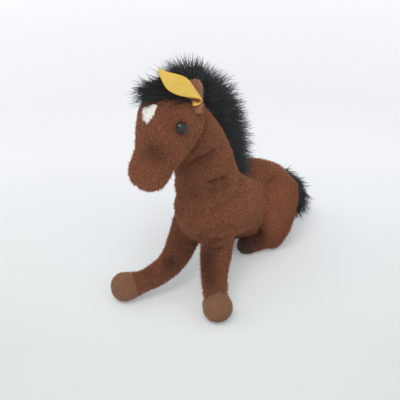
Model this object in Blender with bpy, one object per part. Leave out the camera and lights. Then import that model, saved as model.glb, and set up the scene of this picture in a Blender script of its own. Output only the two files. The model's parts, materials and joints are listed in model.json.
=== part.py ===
# Plush foal sitting on its folded hind legs, with its forelegs stretched out in front of it.
# Metres, +Z up. The foal looks along -Y and its left side is at +X.
# The origin is on the floor, in the middle of its outline seen from above.
import math

import bpy
from mathutils import Matrix, Vector

# Cloth and seams
PLUSH_WALL = 0.0022  # plush cloth: its backing with its pile
SEAM_GAP = 0.0004  # between pieces that are sewn or laid together
FILLING_GAP = 0.0010  # between a cover and its filling
HEAD_ROOM = 0.0007  # between the head and the neck that it turns on
REST_DEPTH = 0.0005  # how deep a stuffed form is flattened where it rests
OVERRUN = 0.0060  # cutters run this far past what they cut

# Torso
TORSO_LENGTH = 0.092  # from the middle of the chest to the middle of the rump's end
TORSO_HALF_WIDTH = 0.0310
TORSO_HALF_HEIGHT = 0.0350
CHEST_LIFT = 0.063  # height of the chest's middle above the floor
CHEST_DOME = 0.0300
RUMP_DOME = 0.0270

# Neck and head
HEAD_FORWARD = 0.0452  # from the chest's middle to the cranium's middle
HEAD_RISE = 0.095
HEAD_SIDE = 0.0048  # to the foal's right
NECK_HALF_WIDTH = 0.0245
NECK_HALF_DEPTH = 0.0270
HEAD_LENGTH = 0.0455  # from the cranium's middle to the muzzle's
HEAD_HALF_WIDTH = 0.0250
HEAD_HALF_DEPTH = 0.0262
POLL_DOME = 0.0170
MUZZLE_DOME = 0.0145
HEAD_TURN = 15.0  # degrees, to the foal's right
HEAD_SLOPE = 57.0  # degrees, muzzle below level

# Forelegs
SHOULDER_SPREAD = 0.0148  # from the middle plane
SHOULDER_FORWARD = 0.0120  # of the chest's middle
SHOULDER_DROP = 0.0125  # below the chest's middle
SHOULDER_RADIUS = 0.0132
FORELEG_RADIUS = 0.0105
HOOF_RADIUS = 0.0125
HOOF_DOME = 0.0105
LEFT_HOOF_SPREAD = 0.0245  # out from the shoulder
LEFT_HOOF_REACH = 0.0440  # forward of the shoulder
RIGHT_HOOF_SPREAD = 0.0255
RIGHT_HOOF_REACH = 0.0550
LEFT_KNEE_SHARE = 0.17  # how far the knee stays in, of the hoof's way out
RIGHT_KNEE_SHARE = 0.42

# Hind legs: a haunch that narrows to a knee on the floor, and a shank folded under the belly
THIGH_HALF_WIDTH = 0.0140
THIGH_HALF_DEPTH = 0.0280
THIGH_SPREAD = 0.0235  # from the middle plane
HIP_BACK = 0.0770  # behind the chest's middle
HIP_LIFT = 0.0440  # above the floor
HIP_DOME = 0.0200
KNEE_REACH = 0.0100  # forward of the hip
KNEE_DOME = 0.0110
SHANK_RADIUS = 0.0100
SHANK_INSET = 0.0050  # inward from the knee
SHANK_REACH = 0.0225  # forward of the knee, to the hind hoof's middle
SHANK_CLOSE = 0.0088  # inward, over the same reach
HIND_HOOF_RADIUS = 0.0090
HIND_HOOF_DOME = 0.0080

# Tail
TAIL_LENGTH = 0.0445
TAIL_RADIUS = 0.0100
TAIL_SWEEP = 0.0190  # to the foal's left
TAIL_STAND = 0.0150  # behind the rump

# Mane and forelock: long pile sewn into the crest's seam
MANE_HALF_WIDTH = 0.0085
MANE_HEIGHT = 0.0290
MANE_TUFT = 0.0030
MANE_TUFTS = 11
FORELOCK_HALF_WIDTH = 0.0130
FORELOCK_HEIGHT = 0.0145
FORELOCK_TUFT = 0.0020
FORELOCK_TUFTS = 5

# Ears
EAR_LENGTH = 0.0230
EAR_HALF_WIDTH = 0.0060
EAR_THICKNESS = 0.0030
EAR_SPREAD = 0.0205  # from the head's middle plane
EAR_CUP = 0.0022  # how far its lining is sunk from its rim
LINING_THICKNESS = 0.0010
LINING_ROOM = 0.0018  # from the head, enough for the ear's swing
EAR_RIM = 0.0014
EAR_SPLAY = 6.0  # degrees, outward
EAR_ANGLE = 74.0  # degrees from the brow, back over the poll
EAR_FACING = 45.0  # degrees, outward from straight ahead

# Eyes
EYE_RADIUS = 0.0048
EYE_BULGE = 0.0031
EYE_ANGLE = 25.0  # degrees round the face, from its side towards the brow
EYE_DROP = 0.0072  # along the face, below the cranium's middle
PIN_RADIUS = 0.0015
PIN_LENGTH = 0.0075
PIN_FIT = 0.0003
WASHER_RADIUS = 0.0042
WASHER_THICKNESS = 0.0010
WASHER_ROOM = 0.0006

# Star
STAR_HALF_WIDTH = 0.0072
STAR_HALF_HEIGHT = 0.0100
STAR_THICKNESS = 0.0010

# Ribbon sewn to the left ear
RIBBON_LENGTH = 0.0420
RIBBON_WIDTH = 0.0150
RIBBON_THICKNESS = 0.0006
RIBBON_CREST = 0.0060
RIBBON_STANDOFF = 0.0014  # from the ear's lining

# Joints, in degrees
FORELEG_SWING = 10.0
HIND_SWING = 6.0
HEAD_SWING = 12.0
EAR_SWING = 8.0
TAIL_SWING = 14.0

# Fineness
SHARP_ANGLE = 50.0  # degrees, between faces that meet in an edge
SIDES = 16
FILLING_SIDES = 12
SMALL_SIDES = 10
EYE_SIDES = 18
DOME_RINGS = 3
SWEEP_STEPS = 3
TORSO_STEPS = 2
LIMB_STEPS = 2

# Each row is a place along the spine, the rise from the rump's height to the chest's,
# and the half width and half height there.
TORSO_SHARES = (
    (0.00, 1.00, 0.96, 0.90),
    (0.14, 0.96, 1.00, 0.92),
    (0.47, 0.48, 0.93, 0.71),
    (0.66, 0.19, 0.93, 0.88),
    (0.86, 0.00, 0.98, 1.00),
    (1.00, 0.00, 0.88, 0.94),
)
# Each row is the way forward and the rise towards the head, and the half width and depth.
NECK_SHARES = (
    (0.02, 0.08, 1.16, 1.18),
    (0.10, 0.32, 1.00, 1.02),
    (0.27, 0.57, 0.88, 0.92),
    (0.57, 0.80, 0.78, 0.80),
    (1.00, 1.00, 0.72, 0.70),
)
# Each row is a place from the cranium to the muzzle, the rise towards the brow as a share
# of the half depth, and the half width and half depth there.
HEAD_SHARES = (
    (-0.14, -0.02, 0.88, 0.85),
    (0.10, 0.02, 1.00, 1.00),
    (0.45, 0.01, 0.84, 0.85),
    (0.72, 0.00, 0.68, 0.67),
    (1.00, 0.02, 0.66, 0.64),
)
# Each row is the way forward and the way down from the shoulder to the hoof's middle, and the
# radius there. The last row of a leg is the hoof's seam, and the hoof's rows follow it.
FORELEG_SHARES = ((0.17, 0.35, 1.18), (0.42, 0.66, 0.98), (0.68, 0.85, 0.88), (0.84, 0.95, 0.84))
HOOF_SHARES = ((0.92, 0.98, 0.93), (1.00, 1.00, 1.00))
# Each row is a place from the hip to the knee, and the half width and half depth there.
THIGH_SHARES = ((0.00, 0.93, 0.97), (0.35, 1.00, 0.97), (0.70, 0.90, 0.79), (1.00, 0.66, 0.58))
# Each row is a place from the knee to the hind hoof's middle, and the radius there.
SHANK_SHARES = ((0.00, 0.96), (0.45, 1.00), (0.80, 0.84))
HIND_HOOF_SHARES = ((0.90, 1.00), (1.00, 1.00))
# Each row is a place down the tail, its share of the sweep and of the stand, and its radius.
TAIL_SHARES = (
    (0.00, 0.00, 0.00, 0.55),
    (0.16, 0.45, 0.62, 0.78),
    (0.42, 0.85, 0.90, 1.00),
    (0.72, 1.00, 1.00, 0.95),
    (0.96, 1.05, 0.98, 0.55),
)
# Each row is a place up the ear and the half width there.
EAR_SHARES = ((0.00, 0.66), (0.24, 0.78), (0.50, 0.90), (0.76, 1.00), (0.92, 0.78))
# Each row is a place along the ribbon, its height as a share of the crest, and its width.
RIBBON_SHARES = (
    (0.04, 0.00, 0.24),
    (0.01, 0.08, 0.26),
    (0.00, 0.34, 0.34),
    (0.06, 0.68, 0.50),
    (0.28, 1.00, 0.84),
    (0.55, 0.96, 1.00),
    (0.82, 0.66, 0.74),
    (1.00, 0.40, 0.10),
)
# To the foal's right, forward and up
RIBBON_WAY_SHARES = (0.20, 0.74, 0.64)
RIBBON_TILT_SHARE = 0.60  # how far its face tilts up
STAR_OUTLINE_SHARES = (
    (0.00, -1.00),
    (0.45, -0.35),
    (0.95, 0.30),
    (0.70, 0.80),
    (0.10, 1.00),
    (-0.60, 0.85),
    (-1.00, 0.35),
    (-0.50, -0.40),
)

CREST_END_SHARE = 0.15  # of a crest's swell, left at its ends
CREST_SINK_SHARE = 0.35  # of a crest's rise, below the skin before it is cut
EYE_SAG_SHARE = 1.9  # allows for the head's own curve behind a washer
EAR_THIN_SHARE = 0.5  # how much of the ear's narrowing its thickness follows
NEARBY_SHARE = 0.02  # of a row, to find a spine's direction
EAR_ROOT_SHARE = 0.15  # of the ear's length, inside the head before it is cut
RIBBON_ROOT_SHARE = 0.36  # up the ear
RIBBON_SIDE_SHARE = 0.34  # of the ear's half width, outward
FORELOCK_BACK = 106.0  # degrees from the brow, back over the poll
FORELOCK_FRONT = 26.0
STAR_ANGLE = -10.0
TAIL_ANGLE = 26.0  # degrees up the rump from its end
MANE_PLACES = (0.0, 3.55)  # along the neck's rows

UP = Vector((0, 0, 1))
FORWARD = Vector((0, -1, 0))
LEFT = Vector((1, 0, 0))


# Materials
def material(name, colour, roughness, metallic=0.0):
    made = bpy.data.materials.new(name)
    made.use_nodes = True
    shader = made.node_tree.nodes["Principled BSDF"]
    shader.inputs["Base Color"].default_value = (*colour, 1)
    shader.inputs["Roughness"].default_value = roughness
    shader.inputs["Metallic"].default_value = metallic
    return made


def start_scene():
    for found in list(bpy.data.objects):
        bpy.data.objects.remove(found)


# Meshes
def between(start, end, share):
    return start + (end - start) * share


def spline(before, start, end, after, share):
    return (
        start * 2
        + (end - before) * share
        + (before * 2 - start * 5 + end * 4 - after) * share**2
        + (start * 3 - before - end * 3 + after) * share**3
    ) / 2


def at(stations, place):
    """A row on the smooth curve through the stations, where place counts stations."""
    row = max(0, min(int(place), len(stations) - 2))
    ends = [stations[0], *stations, stations[-1]]
    return [spline(*column, place - row) for column in zip(*ends[row : row + 4])]


def smooth(stations, steps):
    return [at(stations, step / steps) for step in range(steps * (len(stations) - 1) + 1)]


def ring(centre, across, over, half_width, half_depth, sides):
    turns = [math.tau * step / sides for step in range(sides)]
    return [
        centre + across * half_width * math.cos(turn) + over * half_depth * math.sin(turn)
        for turn in turns
    ]


def loft(stations, side, domes=(0, 0), steps=3, sides=SIDES, grow=0):
    """Rings along a smooth spine, with a dome's rings and its pole at each end."""
    rows = smooth(stations, steps)
    tangents = []
    for row, (point, *_) in enumerate(rows):
        before = rows[max(row - 1, 0)][0]
        after = rows[min(row + 1, len(rows) - 1)][0]
        tangents.append((after - before).normalized())
    places = [(*rows[row], tangents[row]) for row in range(len(rows))]
    angles = [math.pi / 2 * step / DOME_RINGS for step in range(1, DOME_RINGS)]
    for end, dome, way in ((0, domes[0], -1), (-1, domes[1], 1)):
        if not dome:
            continue
        point, half_width, half_depth, tangent = places[end]
        length = (dome + grow) * way
        caps = [
            (
                point + tangent * length * math.sin(angle),
                (half_width + grow) * math.cos(angle) - grow,
                (half_depth + grow) * math.cos(angle) - grow,
                tangent,
            )
            for angle in angles
        ]
        places = places + caps if way > 0 else caps[::-1] + places
    rings = []
    for point, half_width, half_depth, tangent in places:
        across = (side - tangent * side.dot(tangent)).normalized()
        over = tangent.cross(across)
        rings.append(ring(point, across, over, half_width + grow, half_depth + grow, sides))
    poles = (
        rows[0][0] - tangents[0] * (domes[0] + grow if domes[0] else 0),
        rows[-1][0] + tangents[-1] * (domes[1] + grow if domes[1] else 0),
    )
    return rings, poles


def ball_form(centre, radius):
    """A ball as a loft: its two end domes and one ring between them."""
    angles = [math.pi * step / (2 * DOME_RINGS) for step in range(1, 2 * DOME_RINGS)]
    rings = []
    for turn in angles:
        wide = radius * math.sin(turn)
        rings.append(ring(centre - UP * radius * math.cos(turn), LEFT, -FORWARD, wide, wide, SIDES))
    return rings, (centre - UP * radius, centre + UP * radius)


class Shape:
    """Points and faces of one mesh, built wall by wall."""

    def __init__(self):
        self.points = []
        self.faces = []

    def face(self, corners, turned):
        self.faces.append(corners[::-1] if turned else corners)

    def loop(self, points):
        first = len(self.points)
        self.points += points
        return list(range(first, len(self.points)))

    def band(self, first, second, turned=False):
        for spot in range(len(first)):
            after = (spot + 1) % len(first)
            self.face([first[spot], first[after], second[after], second[spot]], turned)

    def fan(self, pole, loop, turned=False):
        tip = self.loop([pole])[0]
        for spot in range(len(loop)):
            self.face([tip, loop[spot], loop[(spot + 1) % len(loop)]], turned)

    def wall(self, rings, inward=False):
        loops = [self.loop(points) for points in rings]
        for first, second in zip(loops, loops[1:]):
            self.band(first, second, inward)
        return loops[0], loops[-1]

    def solid(self, rings, poles, inward=False):
        first, last = self.wall(rings, inward)
        self.fan(poles[0], first, not inward)
        self.fan(poles[1], last, inward)
        return self

    def mesh(self, name, origin):
        made = bpy.data.meshes.new(name)
        made.from_pydata([point - origin for point in self.points], [], self.faces)
        made.validate()
        made.shade_smooth()
        made.set_sharp_from_angle(angle=math.radians(SHARP_ANGLE))
        return made


def solid_of(form):
    return Shape().solid(*form)


def hollow(outer, inner, open_start=False, open_end=False):
    """A wall of cloth between two lofts, closed at each end that isn't open."""
    shape = Shape()
    outer_rings, outer_poles = outer
    inner_rings, inner_poles = inner
    outer_loops = shape.wall(outer_rings)
    inner_loops = shape.wall(inner_rings, inward=True)
    if open_start:
        shape.band(outer_loops[0], inner_loops[0], turned=True)
    else:
        shape.fan(outer_poles[0], outer_loops[0], turned=True)
        shape.fan(inner_poles[0], inner_loops[0])
    if open_end:
        shape.band(outer_loops[1], inner_loops[1])
    else:
        shape.fan(outer_poles[1], outer_loops[1])
        shape.fan(inner_poles[1], inner_loops[1], turned=True)
    return shape


# Objects
class Body:
    """Pieces that move together, hung from an empty on their joint's axis."""

    def __init__(self, name, pivot, parent=None):
        self.pivot = pivot
        self.empty = bpy.data.objects.new(name, None)
        self.empty.location = pivot - (parent.pivot if parent else Vector())
        self.empty.parent = parent.empty if parent else None
        bpy.context.collection.objects.link(self.empty)

    def add(self, name, shape, finish=None):
        made = bpy.data.objects.new(name, shape.mesh(name, self.pivot))
        made.parent = self.empty
        bpy.context.collection.objects.link(made)
        if finish:
            made.data.materials.append(finish)
        return made

    def cutter(self, name, shape, rotation=None):
        made = self.add(name, shape)
        made.hide_render = True
        made.display_type = "WIRE"
        if rotation:
            made.data.transform(rotation)
        return made

    def sweep(self, name, shape, axis, low, high):
        """Copies of a cutter turned through the joint's range."""
        angles = [between(low, high, step / (SWEEP_STEPS - 1)) for step in range(SWEEP_STEPS)]
        return [
            self.cutter(f"{name}_{step}", shape, Matrix.Rotation(math.radians(angle), 4, axis))
            for step, angle in enumerate(angles)
        ]


def boolean(target, operation, tools, solver="EXACT"):
    for tool in tools:
        made = target.modifiers.new(tool.name, "BOOLEAN")
        made.operation = operation
        made.solver = solver
        made.object = tool


def cut_by_sweep(target, swept):
    """Copies turned by a few degrees nearly coincide, which the exact solver fails on."""
    boolean(target, "DIFFERENCE", swept, "MANIFOLD")


def floor_cutter(root, lowest):
    """A slab whose top is the floor, wide enough to pass under the whole foal."""
    reach = TORSO_LENGTH * 2
    low = Vector((0, TORSO_LENGTH / 2, -lowest))
    corners = ((-reach, -reach), (reach, -reach), (reach, reach), (-reach, reach))
    shape = Shape()
    under = shape.loop([low + Vector((x, y, 0)) for x, y in corners])
    above = shape.loop([Vector((x, y + low.y, 0)) for x, y in corners])
    shape.band(under, above)
    shape.face(under, turned=True)
    shape.face(above, turned=False)
    return root.cutter("floor_cutter", shape)


def middle(points):
    return sum(points, Vector()) / len(points)


def parted(form, seam):
    """A loft's near and far part, with the far one moved off by the seam's gap."""
    rings, poles = form
    shift = (middle(rings[seam + 1]) - middle(rings[seam - 1])).normalized() * SEAM_GAP
    far = [[point + shift for point in points] for points in rings[seam:]]
    return (rings[: seam + 1], poles), (far, [pole + shift for pole in poles])


def turned(place, axis, profile, sides):
    """A solid of revolution. The profile's rows are a place along the axis and a radius."""
    across = axis.orthogonal().normalized()
    over = axis.cross(across)
    rings = [
        ring(place + axis * along, across, over, radius, radius, sides)
        for along, radius in profile
    ]
    return Shape().solid(rings, (place + axis * profile[0][0], place + axis * profile[-1][0]))


def washer(place, axis, near, far, bore, rim, sides):
    """A flat ring between two places along its axis."""
    across = axis.orthogonal().normalized()
    over = axis.cross(across)
    rows = ((near, rim), (far, rim), (far, bore), (near, bore))
    shape = Shape()
    loops = [
        shape.loop(ring(place + axis * along, across, over, radius, radius, sides))
        for along, radius in rows
    ]
    for first, second in zip(loops, loops[1:] + loops[:1]):
        shape.band(first, second)
    return shape


def crest(backbone, tufts, tuft, half_width, height):
    """Rings of a fin of hair along a backbone of points, each with its way out."""
    rows = []
    for step in range(2 * tufts + 1):
        point, out = backbone(step / (2 * tufts))
        place = between(CREST_END_SHARE, 1 - CREST_END_SHARE, step / (2 * tufts))
        swell = math.sin(math.pi * place)
        rise = (height + tuft * (step % 2)) * math.sqrt(swell)
        middle = point + out * rise * (1 - CREST_SINK_SHARE) / 2
        rows.append((middle, half_width * math.sqrt(swell), rise * (1 + CREST_SINK_SHARE) / 2))
    return rows


# Places that the pieces share
chest = Vector((0, 0, CHEST_LIFT))
rump_lift = TORSO_HALF_HEIGHT - REST_DEPTH
torso_stations = [
    (
        Vector((0, TORSO_LENGTH * place, between(rump_lift, CHEST_LIFT, rise))),
        TORSO_HALF_WIDTH * width,
        TORSO_HALF_HEIGHT * height,
    )
    for place, rise, width, height in TORSO_SHARES
]
head = chest + FORWARD * HEAD_FORWARD + UP * HEAD_RISE - LEFT * HEAD_SIDE
neck_stations = [
    (
        chest + (FORWARD * HEAD_FORWARD - LEFT * HEAD_SIDE) * way + UP * HEAD_RISE * rise,
        NECK_HALF_WIDTH * width,
        NECK_HALF_DEPTH * depth,
    )
    for way, rise, width, depth in NECK_SHARES
]
turn = Matrix.Rotation(math.radians(-HEAD_TURN), 3, "Z")
head_left = turn @ LEFT
slope = math.radians(HEAD_SLOPE)
ahead = turn @ FORWARD
down_face = ahead * math.cos(slope) - UP * math.sin(slope)
brow = ahead * math.sin(slope) + UP * math.cos(slope)
head_stations = [
    (
        head + down_face * HEAD_LENGTH * place + brow * HEAD_HALF_DEPTH * rise,
        HEAD_HALF_WIDTH * width,
        HEAD_HALF_DEPTH * depth,
    )
    for place, rise, width, depth in HEAD_SHARES
]


def over_poll(angle):
    """The way out of the cranium in its middle plane, from the brow back over the poll."""
    return brow * math.cos(math.radians(angle)) - down_face * math.sin(math.radians(angle))


def torso_form(grow=0, sides=SIDES):
    return loft(torso_stations, LEFT, (CHEST_DOME, RUMP_DOME), TORSO_STEPS, sides, grow)


def neck_form(grow=0, sides=SIDES):
    return loft(neck_stations, LEFT, (0, 0), LIMB_STEPS, sides, grow)


def head_form(grow=0, sides=SIDES):
    return loft(head_stations, head_left, (POLL_DOME, MUZZLE_DOME), LIMB_STEPS, sides, grow)


# Pieces
def stuffed(body, name, form, finish, *ends):
    """A plush cover and its filling, from the same loft."""
    cover = body.add(f"{name}_cover", hollow(form(), form(-PLUSH_WALL), *ends), finish["plush"])
    core = solid_of(form(-PLUSH_WALL - FILLING_GAP, FILLING_SIDES))
    return cover, body.add(f"{name}_filling", core, finish["filling"])


def build_neck(root, head_body, torso_cutter, finish):
    pieces = stuffed(root, "neck", neck_form, finish, True, True)
    swept = head_body.sweep("head_sweep", solid_of(head_form(HEAD_ROOM)), "Z", -HEAD_SWING, HEAD_SWING)
    for piece in pieces:
        cut_by_sweep(piece, [torso_cutter, *swept])
    return swept


def build_eyes(body, cover, filling, finish):
    """Domes on pins that pass through the cover, each held by a washer behind it."""
    back = -PLUSH_WALL - WASHER_RADIUS**2 / HEAD_HALF_WIDTH * EYE_SAG_SHARE - SEAM_GAP
    behind = back - WASHER_THICKNESS
    bore = PIN_RADIUS + PIN_FIT
    room = WASHER_RADIUS + WASHER_ROOM
    angle = math.radians(EYE_ANGLE)
    rim = [math.pi / 2 * step / DOME_RINGS for step in range(DOME_RINGS)]
    dome = [(SEAM_GAP + EYE_BULGE * math.sin(turn), EYE_RADIUS * math.cos(turn)) for turn in rim]
    crown = (SEAM_GAP + EYE_BULGE, PIN_RADIUS / DOME_RINGS)
    profile = [(-PIN_LENGTH, PIN_RADIUS), (SEAM_GAP, PIN_RADIUS), *dome, crown]
    pin_end = -PIN_LENGTH - WASHER_ROOM
    hole = ((pin_end, bore), (OVERRUN, bore))
    floor = behind - WASHER_ROOM
    pocket = ((pin_end, bore), (floor, bore), (floor, room), (OVERRUN, room))
    for name, sign in (("left", 1), ("right", -1)):
        side = head_left * sign * math.cos(angle)
        front = brow * math.sin(angle)
        place = head + down_face * EYE_DROP + side * HEAD_HALF_WIDTH + front * HEAD_HALF_DEPTH
        axis = (side / HEAD_HALF_WIDTH + front / HEAD_HALF_DEPTH).normalized()
        body.add(f"eye_{name}", turned(place, axis, profile, EYE_SIDES), finish["eye"])
        disc = washer(place, axis, behind, back, bore, WASHER_RADIUS, FILLING_SIDES)
        body.add(f"eye_washer_{name}", disc, finish["washer"])
        for piece, form in ((cover, hole), (filling, pocket)):
            shape = turned(place, axis, form, FILLING_SIDES)
            boolean(piece, "DIFFERENCE", [body.cutter(f"{piece.name}_eye_{name}", shape)])


def foreleg_stations(pivot, end, knee, rows, radius):
    stations = []
    for forward, down, share in rows:
        out = forward - knee * math.sin(math.pi * forward)
        shares = (out, forward, down)
        point = Vector([between(*pair, share) for *pair, share in zip(pivot, end, shares)])
        stations.append((point, radius * share, radius * share))
    return stations


def shank_stations(start, end, rows, radius):
    return [(between(start, end, place), radius * share, radius * share) for place, share in rows]


def build_foreleg(root, name, sign, way, torso_pieces, floor, finish):
    spread, reach, knee = way
    pivot = chest + LEFT * sign * SHOULDER_SPREAD + FORWARD * SHOULDER_FORWARD - UP * SHOULDER_DROP
    end = pivot + LEFT * sign * spread + FORWARD * reach
    end.z = HOOF_RADIUS - REST_DEPTH
    leg = [(pivot, SHOULDER_RADIUS, SHOULDER_RADIUS)]
    leg += foreleg_stations(pivot, end, knee, FORELEG_SHARES, FORELEG_RADIUS)
    stations = leg + foreleg_stations(pivot, end, knee, HOOF_SHARES, HOOF_RADIUS)
    seam = DOME_RINGS - 1 + LIMB_STEPS * (len(leg) - 1)
    domes = (SHOULDER_RADIUS, HOOF_DOME)
    body = Body(f"foreleg_{name}_joint", pivot, root)
    outer = parted(loft(stations, LEFT, domes, LIMB_STEPS), seam)
    inner = parted(loft(stations, LEFT, domes, LIMB_STEPS, SIDES, -PLUSH_WALL), seam)
    filling = loft(stations, LEFT, domes, LIMB_STEPS, FILLING_SIDES, -PLUSH_WALL - FILLING_GAP)
    body.add(f"foreleg_cover_{name}", hollow(outer[0], inner[0], False, True), finish["plush"])
    hoof = body.add(f"fore_hoof_{name}", hollow(outer[1], inner[1], True), finish["hoof"])
    body.add(f"foreleg_filling_{name}", solid_of(filling), finish["filling"])
    boolean(hoof, "DIFFERENCE", [floor])
    room = SEAM_GAP * 2
    swept = [body.cutter(f"shoulder_room_{name}", solid_of(ball_form(pivot, SHOULDER_RADIUS + room)))]
    grown = loft(stations, LEFT, (0, HOOF_DOME), LIMB_STEPS, SMALL_SIDES, room)
    swept += body.sweep(f"foreleg_sweep_{name}", solid_of(grown), "X", -FORELEG_SWING, FORELEG_SWING)
    for piece in torso_pieces:
        cut_by_sweep(piece, swept)


def build_hind_leg(root, name, sign, torso_pieces, floor, finish):
    pivot = Vector((THIGH_SPREAD * sign, HIP_BACK, HIP_LIFT))
    knee = Vector((pivot.x, pivot.y - KNEE_REACH, KNEE_DOME - REST_DEPTH))
    haunch = [
        (between(pivot, knee, place), THIGH_HALF_WIDTH * width, THIGH_HALF_DEPTH * depth)
        for place, width, depth in THIGH_SHARES
    ]
    start = Vector((knee.x - SHANK_INSET * sign, knee.y, SHANK_RADIUS))
    end = start - LEFT * sign * SHANK_CLOSE + FORWARD * SHANK_REACH
    end.z = HIND_HOOF_RADIUS - REST_DEPTH
    leg = shank_stations(start, end, SHANK_SHARES, SHANK_RADIUS)
    stations = leg + shank_stations(start, end, HIND_HOOF_SHARES, HIND_HOOF_RADIUS)
    seam = DOME_RINGS - 1 + LIMB_STEPS * (len(leg) - 1)
    domes = (SHANK_RADIUS / 2, HIND_HOOF_DOME)
    body = Body(f"hind_leg_{name}_joint", pivot, root)

    def thigh(grow):
        return solid_of(loft(haunch, LEFT, (HIP_DOME, KNEE_DOME), LIMB_STEPS, SIDES, grow))

    def shank(grow, sides=SIDES):
        return loft(stations, LEFT, domes, LIMB_STEPS, sides, grow)

    outer, inner = shank(0), shank(-PLUSH_WALL)
    past_seam = (inner[0][: seam + 2], (inner[1][0], middle(inner[0][seam + 1])))
    near = (outer[0][: seam + 1], (outer[1][0], middle(outer[0][seam])))
    cover = body.add(f"hind_leg_cover_{name}", thigh(0), finish["plush"])
    boolean(cover, "UNION", [body.cutter(f"shank_{name}", solid_of(near))], "MANIFOLD")
    inside = [
        body.cutter(f"thigh_inside_{name}", thigh(-PLUSH_WALL)),
        body.cutter(f"shank_inside_{name}", solid_of(past_seam)),
    ]
    boolean(cover, "DIFFERENCE", [*inside, floor], "MANIFOLD")
    core = thigh(-PLUSH_WALL - FILLING_GAP)
    filling = body.add(f"hind_leg_filling_{name}", core, finish["filling"])
    core = solid_of(shank(-PLUSH_WALL - FILLING_GAP, FILLING_SIDES))
    boolean(filling, "UNION", [body.cutter(f"shank_core_{name}", core)], "MANIFOLD")
    hoof_wall = hollow(parted(outer, seam)[1], parted(inner, seam)[1], True)
    hoof = body.add(f"hind_hoof_{name}", hoof_wall, finish["hoof"])
    boolean(hoof, "DIFFERENCE", [floor])
    swing = ("X", -HIND_SWING, HIND_SWING)
    swept = body.sweep(f"thigh_sweep_{name}", thigh(SEAM_GAP), *swing)
    swept += body.sweep(f"shank_sweep_{name}", solid_of(shank(SEAM_GAP * 2, SMALL_SIDES)), *swing)
    for piece in torso_pieces:
        cut_by_sweep(piece, swept)


def build_tail(root, finish):
    end = torso_stations[-1]
    angle = math.radians(TAIL_ANGLE)
    start = end[0] - FORWARD * RUMP_DOME * math.cos(angle) + UP * end[2] * math.sin(angle)
    stations = []
    for place, sweep, stand, radius in TAIL_SHARES:
        point = start + LEFT * TAIL_SWEEP * sweep - FORWARD * TAIL_STAND * stand
        stations.append((point - UP * TAIL_LENGTH * place, *[TAIL_RADIUS * radius] * 2))
    body = Body("tail_joint", start, root)
    ends = (TAIL_RADIUS / 2, TAIL_RADIUS / 2)
    form = loft(stations, LEFT, ends, LIMB_STEPS, FILLING_SIDES)
    tail = body.add("tail", solid_of(form), finish["hair"])
    swept = body.sweep("tail_seat", solid_of(torso_form(SEAM_GAP)), "X", -TAIL_SWING, 0)
    cut_by_sweep(tail, swept)


def build_mane(root, torso_cutter, head_sweep, forelock_sweep, finish):
    def backbone(share):
        place = between(*MANE_PLACES, share)
        point, _, half_depth = at(neck_stations, place)
        nearby = at(neck_stations, place + NEARBY_SHARE)[0] - at(neck_stations, place)[0]
        out = nearby.cross(LEFT).normalized()
        return point + out * half_depth, out

    rows = crest(backbone, MANE_TUFTS, MANE_TUFT, MANE_HALF_WIDTH, MANE_HEIGHT)
    ends = (MANE_HALF_WIDTH / 2, MANE_HALF_WIDTH / 2)
    mane = root.add("mane", solid_of(loft(rows, LEFT, ends, 1, SMALL_SIDES)), finish["hair"])
    neck_cutter = root.cutter("neck_room", solid_of(neck_form(SEAM_GAP)))
    cut_by_sweep(mane, [torso_cutter, neck_cutter, *head_sweep, *forelock_sweep])


def build_forelock(body, head_cutter, finish):
    def backbone(share):
        out = over_poll(between(FORELOCK_BACK, FORELOCK_FRONT, share))
        return head + out * HEAD_HALF_DEPTH, out

    rows = crest(backbone, FORELOCK_TUFTS, FORELOCK_TUFT, FORELOCK_HALF_WIDTH, FORELOCK_HEIGHT)
    ends = (FORELOCK_HALF_WIDTH / 2, FORELOCK_HALF_WIDTH / 2)
    form = loft(rows, head_left, ends, 1, SMALL_SIDES)
    forelock = body.add("forelock", solid_of(form), finish["hair"])
    cut_by_sweep(forelock, [head_cutter])
    room = solid_of(loft(rows, head_left, ends, 1, SMALL_SIDES, SEAM_GAP * 2))
    return forelock, body.sweep("forelock_sweep", room, "Z", -HEAD_SWING, HEAD_SWING)


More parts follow.
